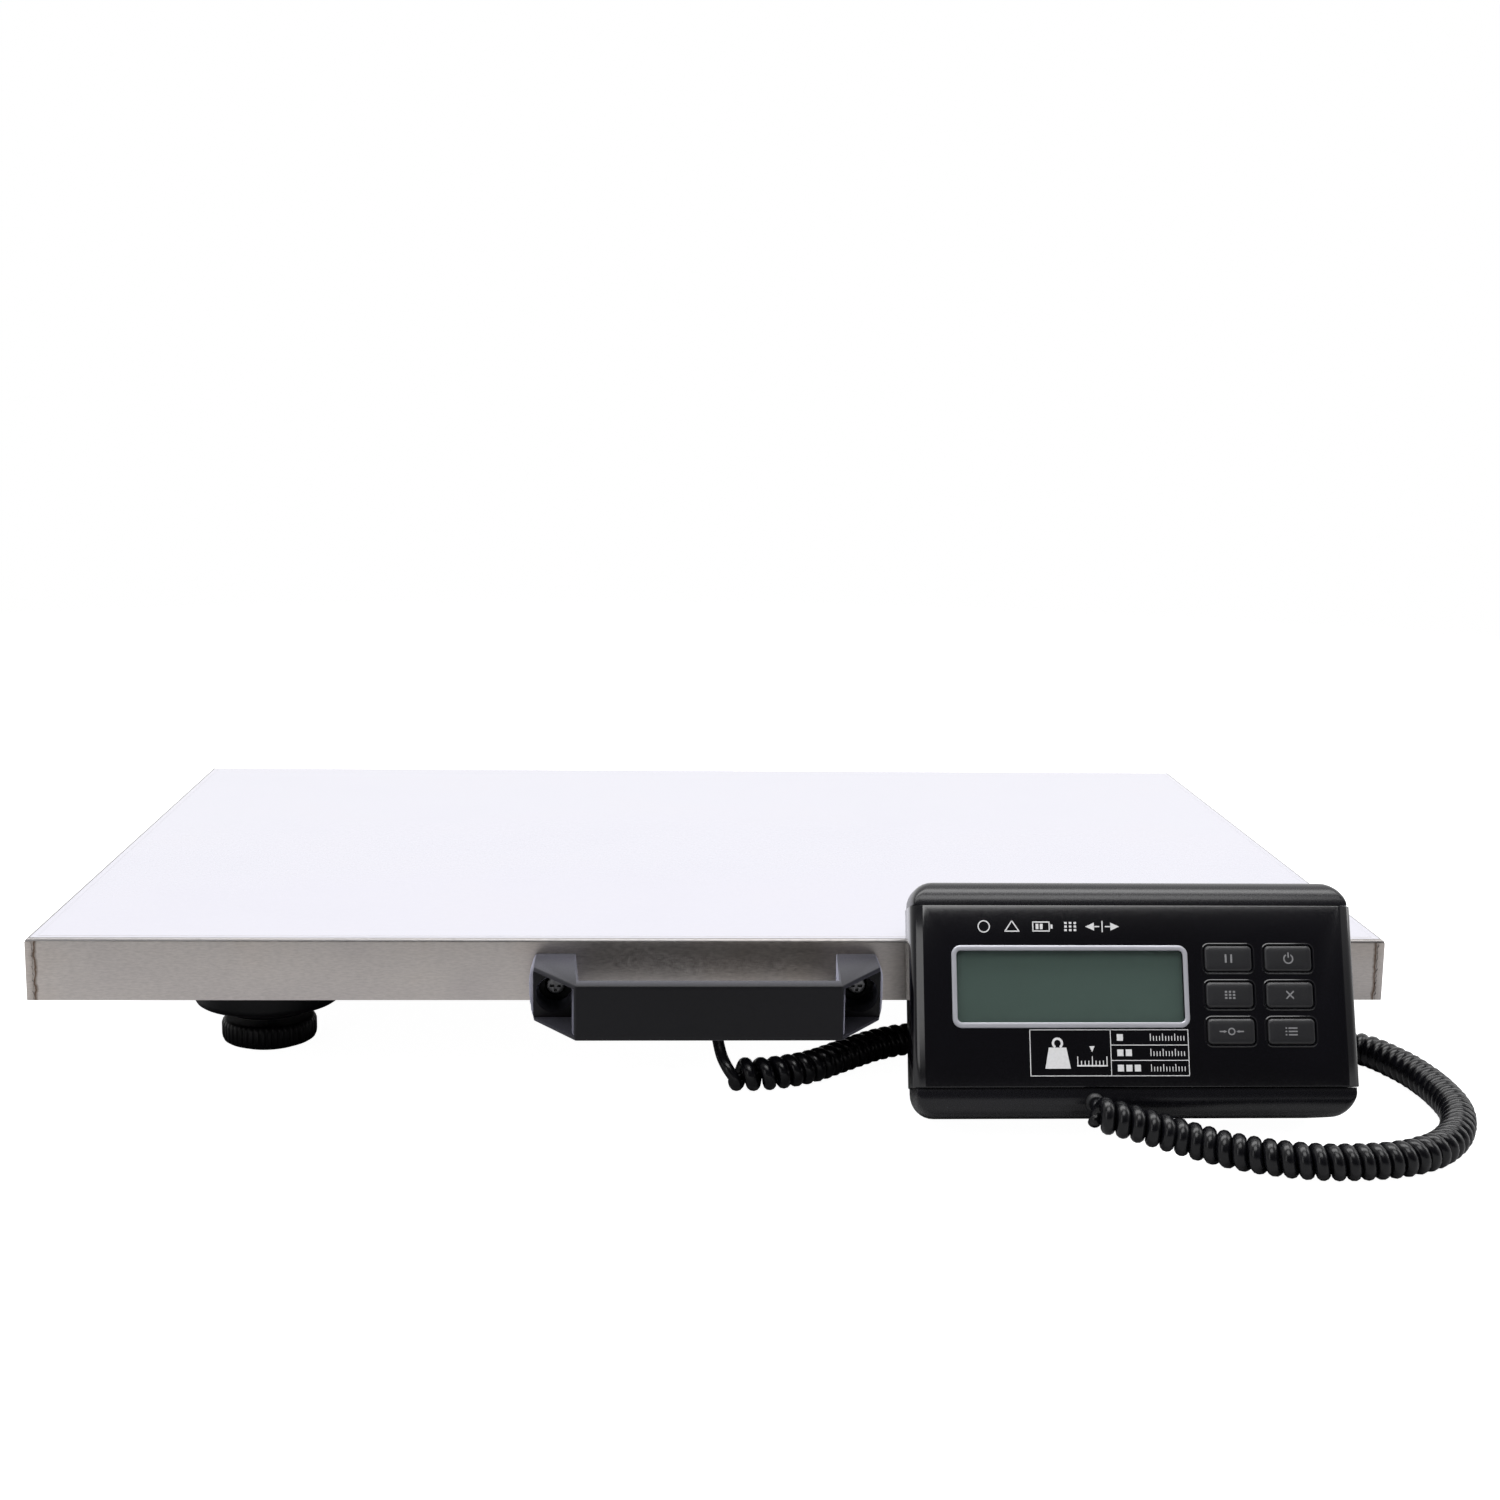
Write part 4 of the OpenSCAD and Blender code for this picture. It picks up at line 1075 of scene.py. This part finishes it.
def make_back_details():
    """The battery door, the case screws and the sleeve at the cord's entry."""
    door = prism(rounded(62.3, 19.3, 133.7, 54.7, 2, 6), 0, 1.5)
    grooves = merged([slab(118 + 2.6 * i, 119.2 + 2.6 * i, 28, 46, -1, 0.5) for i in range(4)])
    door = softened(cut(door, grooves), 0.18, 2, 40)
    add_piece("battery_lid", door, ON_FACE, "battery_door", [case_plastic], ["battery_door"])
    places = [Matrix.Translation((u, v, 1.2)) @ UPSIDE_DOWN for u, v in CASE_SCREWS]
    add_piece("case_screw_set", copies(screw(2.9, 1.1, 1.2, 13.8), places), ON_FACE, "indicator",
              [zinc], ["case_screws"])
    boot = lathe([(CORD_HOLE_R, 3.6), (4.6, 3.6), (4.6, 5.8), (3.9, 5.8), (3.9, 10.4), (3.6, 10.9),
                  (3.85, 11.4), (3.5, 12), (3.1, 12.4), (CORD_HOLE_R, 12.4)], 40)
    add_piece("cord_boot", boot, ON_FACE @ RELIEF_PLACE, "indicator", [relief_rubber],
              ["strain_relief"])


make_back_details()


# ---- Stage ----

def floor_paper():
    """Pale floor, lit from within for the viewer only, that fades out into the white backdrop."""
    material, nodes, links, shader, place = new_material("floor_paper")
    patches = noise(nodes, links, place, 3)
    links.new(ramp(nodes, links, patches, [(0.3, (0.39, 0.39, 0.395)), (0.7, (0.41, 0.41, 0.415))]),
              shader.inputs["Base Color"])
    shader.inputs["Roughness"].default_value = 0.85
    shader.inputs["Specular IOR Level"].default_value = 0.1
    shader.inputs["Emission Color"].default_value = (1, 1, 1, 1)
    seen = nodes.new("ShaderNodeLightPath").outputs["Is Camera Ray"]
    links.new(spread(nodes, links, seen, 0, 0.98, 0, 1), shader.inputs["Emission Strength"])
    distance = nodes.new("ShaderNodeVectorMath")
    distance.operation = "LENGTH"
    links.new(place, distance.inputs[0])
    links.new(spread(nodes, links, distance.outputs["Value"], 1, 0, 0.7, 1.9), shader.inputs["Alpha"])
    return material


def make_stage():
    """A round floor just under the feet."""
    floor = bpy.data.meshes.new("floor")
    sides, reach, height = 96, 2.0, -0.0002
    angles = [2 * math.pi * k / sides for k in range(sides)]
    floor.from_pydata([(reach * math.cos(a), reach * math.sin(a), height) for a in angles], [],
                      [tuple(range(sides))])
    floor.materials.append(floor_paper())
    ground = bpy.data.objects.new("floor", floor)
    scene.collection.objects.link(ground)


def make_world():
    """Pale backdrop behind and above, darker in front, and plain white where the camera sees it."""
    world = bpy.data.worlds.new("studio")
    scene.world = world
    world.use_nodes = True
    nodes, links = world.node_tree.nodes, world.node_tree.links
    nodes.clear()
    place = nodes.new("ShaderNodeTexCoord")
    split = nodes.new("ShaderNodeSeparateXYZ")
    links.new(place.outputs["Generated"], split.inputs["Vector"])
    behind = nodes.new("ShaderNodeMapRange")
    behind.interpolation_type = "SMOOTHSTEP"
    behind.inputs["From Min"].default_value = -0.9
    behind.inputs["From Max"].default_value = 0.7
    behind.inputs["To Min"].default_value = 0.05
    behind.inputs["To Max"].default_value = 1.05
    links.new(split.outputs["Y"], behind.inputs["Value"])
    lit = nodes.new("ShaderNodeBackground")
    links.new(behind.outputs["Result"], lit.inputs["Strength"])
    lit.inputs["Color"].default_value = (1, 1, 1, 1)
    white = nodes.new("ShaderNodeBackground")
    white.inputs["Color"].default_value = (1, 1, 1, 1)
    eye = nodes.new("ShaderNodeLightPath")
    mix = nodes.new("ShaderNodeMixShader")
    out = nodes.new("ShaderNodeOutputWorld")
    links.new(eye.outputs["Is Camera Ray"], mix.inputs["Fac"])
    links.new(lit.outputs["Background"], mix.inputs[1])
    links.new(white.outputs["Background"], mix.inputs[2])
    links.new(mix.outputs["Shader"], out.inputs["Surface"])


def soft_light(name, place, aim, wide, tall, power):
    """A rectangular light at a place, turned to its aim."""
    data = bpy.data.lights.new(name, "AREA")
    data.shape = "RECTANGLE"
    data.size = wide
    data.size_y = tall
    data.energy = power
    light = bpy.data.objects.new(name, data)
    light.location = place
    light.rotation_mode = "QUATERNION"
    light.rotation_quaternion = (Vector(aim) - Vector(place)).to_track_quat("-Z", "Y")
    scene.collection.objects.link(light)


make_stage()
make_world()
soft_light("overhead", (0, 0.05, 2.0), (0, 0, 0), 2.4, 0.8, 36)
soft_light("high_front", (0.2, -1.3, 2.0), (0, -0.1, 0), 1.6, 0.9, 22)
soft_light("left_strip", (-0.9, -1.3, 0.6), (0.08, -0.2, 0.06), 0.4, 1.1, 2.6)
soft_light("right_side", (1.9, 0.1, 1.1), (0.2, 0, 0.05), 0.6, 1.2, 6)
scene.view_settings.view_transform = "Standard"
